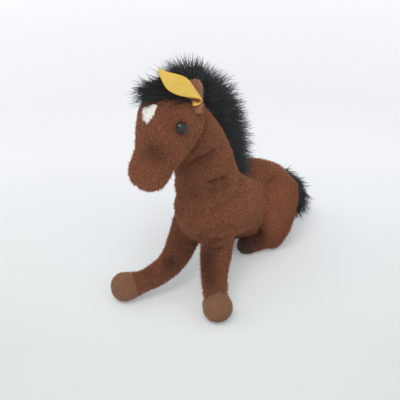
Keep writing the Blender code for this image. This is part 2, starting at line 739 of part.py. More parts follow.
def build_ear(head_body, name, sign, head_grown, forelock, finish):
    out = over_poll(EAR_ANGLE)
    rim = math.sqrt(1 - (EAR_SPREAD / HEAD_HALF_WIDTH) ** 2)
    pivot = head + head_left * sign * EAR_SPREAD + out * POLL_DOME * rim
    splay = Matrix.Rotation(math.radians(EAR_SPLAY * sign), 3, ahead)
    way = splay @ UP
    facing = Matrix.Rotation(math.radians(EAR_FACING * sign), 3, "Z") @ ahead
    width = way.cross(facing).normalized()
    facing = width.cross(way)

    def form(shift, rim_width, half_depth, grow=0, lift=0):
        stations = [
            (
                pivot + way * (EAR_LENGTH * between(-EAR_ROOT_SHARE, 1, place) + lift) + facing * shift,
                EAR_HALF_WIDTH * share - rim_width,
                half_depth * (between(1, share, EAR_THIN_SHARE)),
            )
            for place, share in EAR_SHARES
        ]
        dome = EAR_LENGTH * (1 - EAR_SHARES[-1][0])
        return loft(stations, width, (0, dome), 2, SMALL_SIDES, grow)

    body = Body(f"ear_{name}_joint", pivot, head_body)
    ear = body.add(f"ear_{name}", solid_of(form(0, 0, EAR_THICKNESS / 2)), finish["plush"])
    front = EAR_THICKNESS / 2
    cup = body.cutter(f"ear_cup_{name}", solid_of(form(front, EAR_RIM, EAR_CUP)))
    inlay = solid_of(form(front, EAR_RIM, EAR_CUP, -SEAM_GAP))
    lining = body.add(f"ear_lining_{name}", inlay, finish["lining"])
    scoop = form(front + LINING_THICKNESS, EAR_RIM, EAR_CUP, SEAM_GAP, -LINING_THICKNESS / 2)
    boolean(lining, "DIFFERENCE", [body.cutter(f"ear_scoop_{name}", solid_of(scoop))])
    seat = body.sweep(f"ear_seat_{name}", head_grown, "X", -EAR_SWING, EAR_SWING)
    boolean(ear, "DIFFERENCE", [cup])
    cut_by_sweep(ear, seat)
    lining_seat = body.cutter(f"lining_seat_{name}", solid_of(head_form(LINING_ROOM)))
    boolean(lining, "DIFFERENCE", [lining_seat], "MANIFOLD")
    room = solid_of(form(0, 0, EAR_THICKNESS / 2 + SEAM_GAP, SEAM_GAP * 3))
    cut_by_sweep(forelock, body.sweep(f"ear_room_{name}", room, "X", -EAR_SWING, EAR_SWING))
    across = width * EAR_HALF_WIDTH * RIBBON_SIDE_SHARE
    hold = pivot + way * EAR_LENGTH * RIBBON_ROOT_SHARE + across
    return body, hold + facing * (front - EAR_CUP + LINING_THICKNESS), facing


def build_ribbon(ear_body, start, facing, finish):
    right, forward, rise = RIBBON_WAY_SHARES
    run = (-head_left * right + ahead * forward + UP * rise).normalized()
    face = (facing + UP * RIBBON_TILT_SHARE).normalized()
    side = face.cross(run).normalized()
    face = run.cross(side)
    stations = []
    for place, arch, width in RIBBON_SHARES:
        point = start + run * RIBBON_LENGTH * place + face * RIBBON_CREST * arch
        half = RIBBON_WIDTH / 2 * width
        stations.append((point + facing * RIBBON_STANDOFF, half, RIBBON_THICKNESS / 2))
    body = Body("ribbon_joint", stations[0][0], ear_body)
    ribbon = solid_of(loft(stations, side, (0, 0), LIMB_STEPS, SMALL_SIDES))
    body.add("ear_ribbon", ribbon, finish["ribbon"])


def build_star(body, head_cutter, finish):
    out = over_poll(STAR_ANGLE)
    rise = out.cross(head_left)
    near = head + out * HEAD_HALF_DEPTH / 2
    far = head + out * HEAD_HALF_DEPTH * 2
    shape = Shape()
    outline = [
        head_left * STAR_HALF_WIDTH * side + rise * STAR_HALF_HEIGHT * up
        for side, up in STAR_OUTLINE_SHARES
    ]
    first = shape.loop([near + point for point in outline])
    second = shape.loop([far + point for point in outline])
    shape.band(first, second)
    shape.face(first, turned=True)
    shape.face(second, turned=False)
    star = body.add("forehead_star", solid_of(head_form(SEAM_GAP + STAR_THICKNESS)), finish["star"])
    boolean(star, "INTERSECT", [body.cutter("star_outline", shape)])
    boolean(star, "DIFFERENCE", [head_cutter])


def centre_root(root):
    """Puts the origin under the middle of what shows of the foal."""
    bpy.context.view_layer.update()
    graph = bpy.context.evaluated_depsgraph_get()
    corners = []
    for piece in bpy.data.objects:
        if piece.type == "MESH" and not piece.hide_render:
            shaped = piece.evaluated_get(graph)
            corners += [shaped.matrix_world @ Vector(corner) for corner in shaped.bound_box]
    for axis in (0, 1):
        places = [corner[axis] for corner in corners]
        root.empty.location[axis] = -(min(places) + max(places)) / 2


def main():
    start_scene()
    finish = {
        "plush": material("brown_plush", (0.155, 0.060, 0.033), 0.95),
        "hoof": material("hoof_velour", (0.210, 0.105, 0.058), 0.90),
        "lining": material("ear_velour", (0.280, 0.125, 0.048), 0.90),
        "hair": material("black_hair_pile", (0.010, 0.013, 0.014), 0.80),
        "star": material("white_plush", (0.810, 0.790, 0.720), 0.95),
        "filling": material("fibre_filling", (0.850, 0.850, 0.830), 1.00),
        "eye": material("glossy_eye", (0.008, 0.007, 0.007), 0.08),
        "washer": material("washer_plastic", (0.800, 0.800, 0.780), 0.45),
        "ribbon": material("woven_ribbon", (0.700, 0.510, 0.110), 0.60),
    }
    root = Body("foal", Vector())
    floor = floor_cutter(root, OVERRUN)
    torso_cutter = root.cutter("torso_room", solid_of(torso_form(SEAM_GAP)))
    head_body = Body("head_joint", head, root)
    head_grown = solid_of(head_form(SEAM_GAP))
    head_cutter = head_body.cutter("head_room", head_grown)
    torso_pieces = stuffed(root, "torso", torso_form, finish)
    head_sweep = build_neck(root, head_body, torso_cutter, finish)
    build_eyes(head_body, *stuffed(head_body, "head", head_form, finish), finish)
    forelock, forelock_sweep = build_forelock(head_body, head_cutter, finish)
    build_mane(root, torso_cutter, head_sweep, forelock_sweep, finish)
    ears = {
        name: build_ear(head_body, name, sign, head_grown, forelock, finish)
        for name, sign in (("left", 1), ("right", -1))
    }
    build_ribbon(*ears["left"], finish)
    build_star(head_body, head_cutter, finish)
    ways = (
        ("left", 1, (LEFT_HOOF_SPREAD, LEFT_HOOF_REACH, LEFT_KNEE_SHARE)),
        ("right", -1, (RIGHT_HOOF_SPREAD, RIGHT_HOOF_REACH, RIGHT_KNEE_SHARE)),
    )
    for name, sign, way in ways:
        build_foreleg(root, name, sign, way, torso_pieces, floor, finish)
        build_hind_leg(root, name, sign, torso_pieces, floor, finish)
    build_tail(root, finish)
    centre_root(root)
    boolean(torso_pieces[0], "DIFFERENCE", [floor], "MANIFOLD")


main()
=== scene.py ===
import json
import math

import bpy
import numpy as np
from mathutils import Matrix, Vector
from mathutils.bvhtree import BVHTree


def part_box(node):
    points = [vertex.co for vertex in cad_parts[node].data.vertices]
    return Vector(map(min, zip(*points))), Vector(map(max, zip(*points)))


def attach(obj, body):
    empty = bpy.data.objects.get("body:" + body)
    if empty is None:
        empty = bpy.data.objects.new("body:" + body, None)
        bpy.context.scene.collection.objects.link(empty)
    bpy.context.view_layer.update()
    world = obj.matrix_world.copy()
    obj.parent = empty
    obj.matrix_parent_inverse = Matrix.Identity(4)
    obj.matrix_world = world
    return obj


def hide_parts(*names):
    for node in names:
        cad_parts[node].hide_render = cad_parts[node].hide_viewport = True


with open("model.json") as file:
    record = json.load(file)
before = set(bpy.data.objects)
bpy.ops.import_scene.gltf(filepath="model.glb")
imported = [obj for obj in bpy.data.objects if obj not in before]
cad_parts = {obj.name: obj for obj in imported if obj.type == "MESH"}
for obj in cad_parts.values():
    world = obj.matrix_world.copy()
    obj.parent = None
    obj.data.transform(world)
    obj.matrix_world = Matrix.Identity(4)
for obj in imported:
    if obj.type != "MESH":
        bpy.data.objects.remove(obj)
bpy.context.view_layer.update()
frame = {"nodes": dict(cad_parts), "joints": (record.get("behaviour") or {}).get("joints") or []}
nodes = frame["nodes"]
print("frame loaded")

joints = {joint["name"]: Vector(joint["pos_m"]) for joint in frame["joints"]}
sides = ("left", "right")
millimetre = 0.001
upward = Vector((0, 0, 1))
headMiddle = joints["head_turn"]
chestToHead = Vector((-0.0048, -0.0452, 0.158))  # from the floor under the chest's middle
floorPoint = headMiddle - chestToHead
headTurn = math.radians(-15.0)
headAcross = Vector((math.cos(headTurn), math.sin(headTurn), 0))  # towards the head's own left
headAhead = Vector((math.sin(headTurn), -math.cos(headTurn), 0))


# Camera, at the photograph's angle
view = {
    "look": floorPoint + Vector((-0.0066, -0.0038, 0.070)),
    "azimuth": 30.0,
    "elevation": 27.0,
    "distance": 0.75,
    "lens": 84.4,
    "sensor": 36.0,
    "pixels": 400,
    "clip": (0.01, 20),
}


def cameraAxes():
    # Its right, its up, and the way back to it
    azimuth, elevation = math.radians(view["azimuth"]), math.radians(view["elevation"])
    flat = Vector((math.sin(azimuth), -math.cos(azimuth), 0))
    back = flat * math.cos(elevation) + upward * math.sin(elevation)
    right = Vector((math.cos(azimuth), math.sin(azimuth), 0))
    return right, back.cross(right), back


def makeCamera():
    right, up, back = cameraAxes()
    data = bpy.data.cameras.new("camera")
    data.lens, data.sensor_width = view["lens"], view["sensor"]
    data.clip_start, data.clip_end = view["clip"]
    camera = bpy.data.objects.new("camera", data)
    bpy.context.scene.collection.objects.link(camera)
    turn = Matrix((right, up, back)).transposed().to_4x4()
    camera.matrix_world = Matrix.Translation(view["look"] + back * view["distance"]) @ turn
    bpy.context.scene.camera = camera


def pixelRay(x, y):
    # Where the camera is, and the way that it sees this pixel of the photograph
    right, up, back = cameraAxes()
    half = view["pixels"] / 2
    scale = view["sensor"] / view["lens"] / view["pixels"]
    way = right * (x - half) * scale - up * (y - half) * scale - back
    return view["look"] + back * view["distance"], way.normalized()


makeCamera()
print("camera set")


# Picking and finishing
def deselect():
    for obj in bpy.context.selected_objects:
        obj.select_set(False)


def pick(obj):
    deselect()
    obj.select_set(True)
    bpy.context.view_layer.objects.active = obj


def setMode(mode):
    bpy.ops.object.mode_set(mode=mode)


def paint(obj, material):
    obj.data.materials.clear()
    obj.data.materials.append(material)


def finishModifiers(obj):
    pick(obj)
    for modifier in list(obj.modifiers):
        bpy.ops.object.modifier_apply(modifier=modifier.name)


def shadeSmooth(obj):
    obj.data.polygons.foreach_set("use_smooth", [True] * len(obj.data.polygons))


def placeInMesh(obj):
    pick(obj)
    bpy.ops.object.transform_apply(location=True, rotation=True, scale=True)


def rgb(red, green, blue):
    # A display colour as the linear one that shaders take
    tones = [value / 255 for value in (red, green, blue)]
    linear = [t / 12.92 if t <= 0.04045 else ((t + 0.055) / 1.055) ** 2.4 for t in tones]
    return (*linear, 1.0)


def vectorsOf(obj, field):
    values = np.empty(len(obj.data.vertices) * 3, np.float32)
    obj.data.vertices.foreach_get(field, values)
    return values.reshape(-1, 3).astype(float)


def verticesOf(obj):
    return vectorsOf(obj, "co")


def normalsOf(obj):
    return vectorsOf(obj, "normal")


def setAttribute(obj, name, kind, values):
    made = obj.data.attributes.get(name) or obj.data.attributes.new(name, kind, "POINT")
    field = "vector" if kind == "FLOAT_VECTOR" else "value"
    made.data.foreach_set(field, np.asarray(values, np.float32).ravel())


# Shaders
def node(tree, kind, links=None, **settings):
    made = tree.nodes.new(kind)
    for key, value in settings.items():
        setattr(made, key, value)
    for socket, source in (links or {}).items():
        if hasattr(source, "is_output"):
            tree.links.new(source, made.inputs[socket])
        else:
            made.inputs[socket].default_value = source
    return made


def mixColour(tree, factor, first, second, blend="MIX"):
    links = {0: factor, 6: first, 7: second}
    return node(tree, "ShaderNodeMix", links, data_type="RGBA", blend_type=blend).outputs[2]


def mathNode(tree, operation, *values, clamp=False):
    links = dict(enumerate(values))
    return node(tree, "ShaderNodeMath", links, operation=operation, use_clamp=clamp).outputs[0]


def vectorNode(tree, operation, links):
    return node(tree, "ShaderNodeVectorMath", links, operation=operation).outputs["Vector"]


def objectPlace(tree):
    return node(tree, "ShaderNodeTexCoord").outputs["Object"]


def attributeNode(tree, name):
    return node(tree, "ShaderNodeAttribute", attribute_name=name).outputs["Fac"]


def newGroup(name, tree, inputs, output):
    # A node group with inputs of each kind, and one output that is named for its kind
    group = bpy.data.node_groups.new(name, tree)
    for kind, sockets in inputs.items():
        for socket in sockets:
            group.interface.new_socket(socket, in_out="INPUT", socket_type=f"NodeSocket{kind}")
    group.interface.new_socket(output, in_out="OUTPUT", socket_type=f"NodeSocket{output}")
    return group, group.nodes.new("NodeGroupInput").outputs


def makePileGroup():
    # Colour of pile: dark at the root and lighter at the tip, which paints shade deep in the pile and on the cloth
    # between strands and light on their tips, patchy, and each strand a little unlike
    inputs = {"Color": ("Root", "Tip", "Patch"), "Float": ("Patch Size", "Patch Amount", "Strand Spread")}
    group, given = newGroup("pileColour", "ShaderNodeTree", inputs, "Color")
    place = objectPlace(group)
    strand = mixColour(group, attributeNode(group, "along"), given["Root"], given["Tip"])
    links = {"Vector": place, "Scale": given["Patch Size"], "Detail": 3.0, "Roughness": 0.6}
    cloud = node(group, "ShaderNodeTexNoise", links).outputs["Fac"]
    sharper = mathNode(group, "MULTIPLY_ADD", cloud, 2.6, -0.8, clamp=True)
    amount = mathNode(group, "MULTIPLY", sharper, given["Patch Amount"])
    patched = mixColour(group, amount, strand, given["Patch"])
    unlike = mathNode(group, "SUBTRACT", attributeNode(group, "shade"), 0.5)
    unlike = mathNode(group, "MULTIPLY_ADD", unlike, given["Strand Spread"], 1.0)
    # The tone places darken or lighten the pile: painted shade and painted light
    tone = mathNode(group, "MULTIPLY_ADD", attributeNode(group, "tone"), 0.6, 1.0)
    lift = mathNode(group, "MULTIPLY", unlike, tone)
    grey = node(group, "ShaderNodeCombineColor", {0: lift, 1: lift, 2: lift}).outputs[0]
    shown = mixColour(group, 1.0, patched, grey, "MULTIPLY")
    node(group, "NodeGroupOutput", {"Color": shown})
    return group


def makeSpeckleGroup():
    # Two close tones of one plastic
    inputs = {"Color": ("Dark", "Light"), "Float": ("Scale",)}
    group, given = newGroup("speckle", "ShaderNodeTree", inputs, "Color")
    place = objectPlace(group)
    links = {"Vector": place, "Scale": given["Scale"], "Detail": 2.0}
    speck = node(group, "ShaderNodeTexNoise", links).outputs["Fac"]
    node(group, "NodeGroupOutput", {"Color": mixColour(group, speck, given["Dark"], given["Light"])})
    return group


pileGroup = makePileGroup()
speckleGroup = makeSpeckleGroup()


def newMaterial(name, **values):
    material = bpy.data.materials.new(name)
    material.use_nodes = True
    shader = material.node_tree.nodes["Principled BSDF"]
    for socket, value in values.items():
        shader.inputs[socket.replace("_", " ")].default_value = value
    return material, material.node_tree, shader


def groupMaterial(name, shaderGroup, inputs, **values):
    # A material that takes its colour from a shader group
    material, tree, shader = newMaterial(name, **values)
    group = node(tree, "ShaderNodeGroup", node_tree=shaderGroup)
    for socket, value in inputs.items():
        group.inputs[socket].default_value = value
    tree.links.new(group.outputs["Color"], shader.inputs["Base Color"])
    return material


def pileMaterial(name, look):
    return groupMaterial(name, pileGroup, look["pile"], **look["shader"])


# Strands: a geometry node group that grows pile or hair from a surface
strandLook = {
    "rootDepth": 0.12,  # how much of a strand's length stands in the cloth
    "leastNap": 0.04,
    "tipPower": 1.6,
    "tipWidth": 0.08,
    "sides": 3,
    "quickShare": 0.4,
    "floorNap": 0.0012,  # how near the floor the pile is pressed flat
}


def makeStrandGroup():
    inputs = {
        "Geometry": ("Geometry",),
        "Float": ("Density", "Length", "Spread", "Width", "Stand", "Jitter", "Bend", "Droop", "Curl", "Curl Size"),
        "Int": ("Points", "Seed"),
        "Material": ("Material",),
    }
    group, given = newGroup("growStrands", "GeometryNodeTree", inputs, "Geometry")

    def make(kind, links=None, **settings):
        return node(group, kind, links, **settings).outputs[0]

    def calc(operation, *values):
        return mathNode(group, operation, *values)

    def named(name, kind="FLOAT"):
        made = node(group, "GeometryNodeInputNamedAttribute", {"Name": name}, data_type=kind)
        return made.outputs["Attribute"]

    def vector(operation, *values):
        return vectorNode(group, operation, dict(enumerate(values)))

    def times(value, factor):
        return vectorNode(group, "SCALE", {0: value, "Scale": factor})

    def random(low, high, seed, kind="FLOAT"):
        first, result = {"FLOAT": (2, 1), "FLOAT_VECTOR": (0, 0)}[kind]
        links = {first: low, first + 1: high, "Seed": seed}
        return node(group, "FunctionNodeRandomValue", links, data_type=kind).outputs[result]

    def store(geometry, name, value, domain):
        links = {"Geometry": geometry, "Name": name, "Value": value}
        return make("GeometryNodeStoreNamedAttribute", links, domain=domain)

    # Where strands start, and which way each one stands
    seeds = [calc("ADD", given["Seed"], step) for step in (11, 23, 37)]
    links = {0: named("nap"), 1: strandLook["leastNap"]}
    grows = make("FunctionNodeCompare", links, operation="GREATER_THAN")
    links = {"Mesh": given["Geometry"], "Selection": grows, "Density": given["Density"], "Seed": given["Seed"]}
    scattered = node(group, "GeometryNodeDistributePointsOnFaces", links).outputs
    lay = named("lay", "FLOAT_VECTOR")
    upright = times(scattered["Normal"], given["Stand"])
    leaning = times(lay, calc("SUBTRACT", 1.0, given["Stand"]))
    stray = times(random((-1, -1, -1), (1, 1, 1), seeds[0], "FLOAT_VECTOR"), given["Jitter"])
    way = vector("NORMALIZE", vector("ADD", vector("ADD", upright, leaning), stray))
    turn = make("FunctionNodeAlignRotationToVector", {"Vector": way}, axis="Z")
    low = calc("SUBTRACT", 1.0, given["Spread"])
    high = calc("ADD", 1.0, given["Spread"])
    reach = calc("MULTIPLY", random(low, high, seeds[1]), given["Length"])
    reach = calc("MULTIPLY", reach, named("nap"))
    size = make("ShaderNodeCombineXYZ", {0: 1.0, 1: 1.0, 2: reach})
    links = {"Start": (0, 0, -strandLook["rootDepth"]), "End": (0, 0, 1)}
    line = make("GeometryNodeCurvePrimitiveLine", links)
    line = make("GeometryNodeResampleCurve", {"Curve": line, "Count": given["Points"]})
    links = {"Points": scattered["Points"], "Instance": line, "Rotation": turn, "Scale": size}
    placed = make("GeometryNodeInstanceOnPoints", links)
    placed = store(placed, "shade", random(0.0, 1.0, seeds[2]), "INSTANCE")
    placed = store(placed, "reach", reach, "INSTANCE")
    strands = make("GeometryNodeRealizeInstances", {0: placed})
    # Each one bends along the lay, droops and curls, the more the further out
    along = node(group, "GeometryNodeSplineParameter").outputs["Factor"]
    reached = calc("MULTIPLY", named("reach"), calc("POWER", along, 2.0))
    down = make("ShaderNodeCombineXYZ", {2: calc("MULTIPLY", given["Droop"], -1.0)})
    bent = times(vector("ADD", times(lay, given["Bend"]), down), reached)
    place = make("GeometryNodeInputPosition")
    links = {"Vector": place, "Scale": given["Curl Size"], "Detail": 1.0}
    wave = vector("SUBTRACT", node(group, "ShaderNodeTexNoise", links).outputs["Color"], (0.5, 0.5, 0.5))
    wave = times(times(wave, calc("MULTIPLY", given["Curl"], along)), named("reach"))
    strands = make("GeometryNodeSetPosition", {0: strands, "Offset": vector("ADD", bent, wave)})
    strands = store(strands, "along", along, "POINT")
    # Its thickness, which ends in a point
    thin = calc("SUBTRACT", 1.0, calc("POWER", along, strandLook["tipPower"]))
    thin = calc("MULTIPLY_ADD", thin, 1 - strandLook["tipWidth"], strandLook["tipWidth"])
    radius = calc("MULTIPLY", thin, given["Width"])
    strands = make("GeometryNodeSetCurveRadius", {"Curve": strands, "Radius": radius})
    links = {"Resolution": strandLook["sides"], "Radius": 1.0}
    outline = make("GeometryNodeCurvePrimitiveCircle", links)
    radius = make("GeometryNodeInputRadius")
    links = {"Curve": strands, "Profile Curve": outline, "Scale": radius, "Fill Caps": True}
    solid = make("GeometryNodeCurveToMesh", links)
    soft = make("GeometryNodeSetShadeSmooth", {"Geometry": solid, "Shade Smooth": True})
    painted = make("GeometryNodeSetMaterial", {"Geometry": soft, "Material": given["Material"]})
    joined = node(group, "GeometryNodeJoinGeometry")
    for part in (painted, given["Geometry"]):
        group.links.new(part, joined.inputs[0])
    node(group, "NodeGroupOutput", {0: joined.outputs[0]})
    return group


strandGroup = makeStrandGroup()


def growStrands(obj, material, strands):
    # Adds strands to a surface that has the attributes nap, their length, and lay, their way
    modifier = obj.modifiers.new("strands", "NODES")
    modifier.node_group = strandGroup
    items = strandGroup.interface.items_tree
    sockets = {item.name: item.identifier for item in items if item.in_out == "INPUT"}
    for name, value in dict(strands, Material=material).items():
        if name == "Density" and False:
            value = value * strandLook["quickShare"]
        modifier[sockets[name]] = value
    finishModifiers(obj)
    # The toy's weight presses the pile under it flat, and none goes through the floor
    points, nap = verticesOf(obj), strandLook["floorNap"]
    low = points[:, 2] < nap
    points[low, 2] = nap * np.exp(points[low, 2] / nap - 1)
    moveVertices(obj, points)


# Soft skins: copies of the stuffed solids, remeshed, rounded and swelled to just under their pile
weldGap = 0.00001


def copyNode(name, source):
    copied = bpy.data.objects.new(name, nodes[source].data.copy())
    bpy.context.scene.collection.objects.link(copied)
    copied.name = copied.data.name = name
    copied.data.materials.clear()
    pick(copied)
    setMode("EDIT")
    bpy.ops.mesh.select_all(action="SELECT")
    bpy.ops.mesh.remove_doubles(threshold=weldGap)
    setMode("OBJECT")
    return copied


def duplicate(obj, name):
    pick(obj)
    bpy.ops.object.duplicate()
    copied = bpy.context.view_layer.objects.active
    copied.name = copied.data.name = name
    return copied


def joinInto(obj, others):
    pick(obj)
    for other in others:
        other.select_set(True)
    bpy.ops.object.join()


def remesh(obj, voxel):
    modifier = obj.modifiers.new("volume", "REMESH")
    modifier.mode = "VOXEL"
    modifier.voxel_size = voxel
    modifier.use_smooth_shade = True
    finishModifiers(obj)


def soften(obj, rounds):
    modifier = obj.modifiers.new("soften", "SMOOTH")
    modifier.factor = 0.5
    modifier.iterations = rounds
    finishModifiers(obj)


def swell(obj, grow):
    modifier = obj.modifiers.new("swell", "DISPLACE")
    modifier.strength = grow
    modifier.mid_level = 0
    finishModifiers(obj)


def thicken(obj, thickness, offset):
    modifier = obj.modifiers.new("cloth", "SOLIDIFY")
    modifier.thickness, modifier.offset = thickness, offset
    finishModifiers(obj)


def roundOff(obj, look):
    remesh(obj, look["voxel"])
    soften(obj, look["rounds"])
    swell(obj, look["grow"])


def makeSkin(name, sources, skin):
    # One skin around several stuffed parts
    parts = [copyNode(name, source) for source in sources]
    for part in parts:
        roundOff(part, skin)
    if len(parts) > 1:
        joinInto(parts[0], parts[1:])
    remesh(parts[0], skin["voxel"])
    soften(parts[0], skin["last"])
    return parts[0]


def distances(points, spot):
    return np.linalg.norm(points - np.array(spot), axis=1)


def bell(apart, radius):
    return np.exp(-((apart / radius) ** 2))


def setLay(obj, guides, flat=True, core=0.003):
    # The pile's way at each point, blended from guide places, and along the cloth where it is flat
    points = verticesOf(obj)
    total = np.zeros_like(points)
    weights = np.zeros(len(points))
    for place, way in guides:
        weight = 1 / (distances(points, floorPoint + Vector(place)) + core) ** 2
        total += weight[:, None] * np.array(Vector(way).normalized())
        weights += weight
    total /= weights[:, None]
    normals = normalsOf(obj)
    if flat:
        total -= normals * (total * normals).sum(axis=1)[:, None]
    total /= np.linalg.norm(total, axis=1)[:, None] + 1e-6
    setAttribute(obj, "lay", "FLOAT_VECTOR", total)


def setNap(obj, shorter=(), fade=0.6):
    # The pile's length at each point, as a share, shorter near the places given
    points = verticesOf(obj)
    nap = np.ones(len(points))
    for place, radius, share in shorter:
        near = np.clip((radius * (1 + fade) - distances(points, place)) / (radius * fade), 0, 1)
        nap *= 1 - near * (1 - share)
    setAttribute(obj, "nap", "FLOAT", nap)


def napOf(obj):
    nap = np.empty(len(obj.data.vertices), np.float32)
    obj.data.attributes["nap"].data.foreach_get("value", nap)
    return nap


def skinTree(obj):
    # Finds places on a surface
    faces = [tuple(face.vertices) for face in obj.data.polygons]
    return BVHTree.FromPolygons([tuple(point) for point in verticesOf(obj)], faces)


def onSkin(tree, pixels):
    # Where the camera sees each of these pixels on a surface
    spots = []
    for x, y in pixels:
        start, way = pixelRay(x, y)
        hit = tree.ray_cast(start, way)[0]
        if hit is not None:
            spots.append(np.array(hit))
    return spots


def otherSide(spots):
    # The same spots on the toy's other side
    middle = floorPoint.x
    return [np.array((2 * middle - spot[0], spot[1], spot[2])) for spot in spots]


def moveVertices(obj, points):
    obj.data.vertices.foreach_set("co", points.ravel())
    obj.data.update()


def pushSkin(obj, spots, amount, radius, way=None):
    # Moves the cloth near some spots out along its normals, or one way
    points = verticesOf(obj)
    near = np.min([distances(points, spot) for spot in spots], axis=0)
    share = amount * bell(near, radius)
    points += (normalsOf(obj) if way is None else np.array(way)) * share[:, None]
    moveVertices(obj, points)


def justAbove(points, tree, reach):
    # Which points lie close above a skin, with the skin's normal there and how far they are
    for index, point in enumerate(points):
        spot, normal, _, apart = tree.find_nearest(Vector(point), reach)
        if spot is not None and (Vector(point) - spot).dot(normal) > 0:
            yield index, np.array(normal), apart


def fillSeam(obj, others, amount, width):
    # Lifts the cloth beside another skin, so that the two meet in a soft hollow
    points, normals = verticesOf(obj), normalsOf(obj)
    lift = np.zeros(len(points))
    for tree in others:
        for index, _, apart in justAbove(points, tree, width * 3):  # further off, nothing is lifted
            lift[index] = max(lift[index], amount * bell(apart, width))
    moveVertices(obj, points + normals * lift[:, None])


def sinkRoots(obj, tree, reach, depth):
    # Draws what lies close above a skin down into it, so that a tuft grows from the cloth
    points = verticesOf(obj)
    for index, normal, apart in justAbove(points, tree, reach):
        points[index] -= normal * (apart + depth) * (1 - (apart / reach) ** 2)
    moveVertices(obj, points)


def paintShadeLightAndTone(obj, zones):
    # Lighter and darker places of the pile, at pixels, with their radius and how much: painted shade in creases,
    # hollows and under the body, painted light on lit sides, and other lighter places
    tree, points = skinTree(obj), verticesOf(obj)
    tone = np.zeros(len(points))
    for pixel, radius, amount in zones:
        for spot in onSkin(tree, [pixel]):
            tone += amount * bell(distances(points, spot), radius)
    setAttribute(obj, "tone", "FLOAT", np.clip(tone, -1, 1))


creaseLook = {
    "steps": 12,
    "lift": 0.35,  # how high the cloth rises beside a crease, as a share of its depth
    "liftAt": 2.2,  # how far from it, in its widths
    "fade": 3.5,  # how soon it reaches its depth from either end
}


def pressCrease(obj, pixels, depth, width):
    # Presses a soft groove along a line of pixels, and lifts the cloth a little beside it
    spots = onSkin(skinTree(obj), pixels)
    steps = creaseLook["steps"]
    line = [
        first + (second - first) * step / steps
        for first, second in zip(spots, spots[1:])
        for step in range(steps)
    ]
    line.append(spots[-1])
    points, normals = verticesOf(obj), normalsOf(obj)
    near = np.full(len(points), 1.0)
    along = np.zeros(len(points))
    for index, spot in enumerate(line):
        apart = distances(points, spot)
        closer = apart < near
        near[closer] = apart[closer]
        along[closer] = index / (len(line) - 1)
    ends = np.clip(np.minimum(along, 1 - along) * creaseLook["fade"], 0, 1)
    beside = depth * creaseLook["lift"] * bell(near - width * creaseLook["liftAt"], width)
    groove = -depth * bell(near, width) + beside
    moveVertices(obj, points + normals * (groove * ends)[:, None])


def finishPiece(obj, bodyName, slot, *replaced):
    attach(obj, bodyName)
    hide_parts(*replaced)


# Brown plush
plushLook = {
    "pile": {
        "Root": rgb(116, 68, 46), "Tip": rgb(204, 134, 96), "Patch": rgb(128, 78, 56), "Patch Size": 300.0,
        "Patch Amount": 0.55, "Strand Spread": 0.35,
    },
    "shader": {"Roughness": 0.9, "Specular_IOR_Level": 0.2, "Sheen_Weight": 0.08, "Sheen_Roughness": 0.5},
    "strands": {
        "Density": 1300000.0, "Length": 0.0019, "Spread": 0.45, "Width": 0.00026, "Points": 3, "Stand": 0.5,
        "Jitter": 0.75, "Bend": 0.15, "Droop": 0.0, "Curl": 0.9, "Curl Size": 420.0,
    },
}
plush = pileMaterial("brownPlush", plushLook)

body = {
    "skin": {"voxel": 0.0016, "rounds": 14, "grow": 0.0021, "last": 3},
    "fill": 0.75,
    "rump": (((268, 169), (277, 173), (283, 180)), 0.0045, 0.014),
    "chest": (((187, 219), (191, 228)), 0.0038, 0.012),
    "seam": (0.0020, 0.0040),
    "shoulderSeam": (0.0014, 0.0032),
    "creases": (
        (((175, 168), (186, 164), (198, 158), (210, 152), (222, 146)), 0.0026, 0.0028),
        (((205, 183), (217, 180), (230, 174)), 0.0034, 0.0024),
        (((207, 190), (220, 187), (233, 181)), 0.0026, 0.0022),
        (((190, 195), (199, 196), (210, 194)), 0.0012, 0.0026),
        (((202, 237), (210, 240), (220, 240), (229, 236)), 0.0022, 0.0018),
        (((244, 172), (252, 184), (260, 196), (266, 206), (263, 218), (256, 228)), 0.0016, 0.0022),
        (((266, 181), (272, 184), (278, 191)), 0.0008, 0.0016),
    ),
    # Painted shade along the jaw and neck creases, the folds at the neck's foot and under the chest, and painted
    # light on the chest's lit side and the rump
    "tones": (
        ((184, 168), 0.007, -0.45), ((198, 161), 0.008, -0.45), ((210, 154), 0.006, -0.35),
        ((212, 182), 0.0045, -0.45), ((222, 178), 0.0045, -0.45), ((212, 190), 0.0040, -0.35),
        ((224, 186), 0.0040, -0.40), ((193, 193), 0.0050, -0.30), ((200, 190), 0.010, -0.20),
        ((240, 212), 0.016, 0.15), ((264, 172), 0.016, 0.12), ((188, 240), 0.008, -0.35),
    ),
    "lay": (
        # Places over the floor point, and the way that the pile lies there
        ((0, -0.02, 0.045), (0, 0.1, -1)), ((0, -0.035, 0.09), (0, -0.1, -1)),
        ((-0.004, -0.05, 0.13), (0, 0.0, -1)), ((0.03, 0.02, 0.06), (0, 0.8, -0.6)),
        ((-0.03, 0.02, 0.06), (0, 0.8, -0.6)), ((0, 0.06, 0.07), (0, 1, -0.2)),
        ((0, 0.11, 0.04), (0, 0.1, -1)),
    ),
    "seed": 1,
}
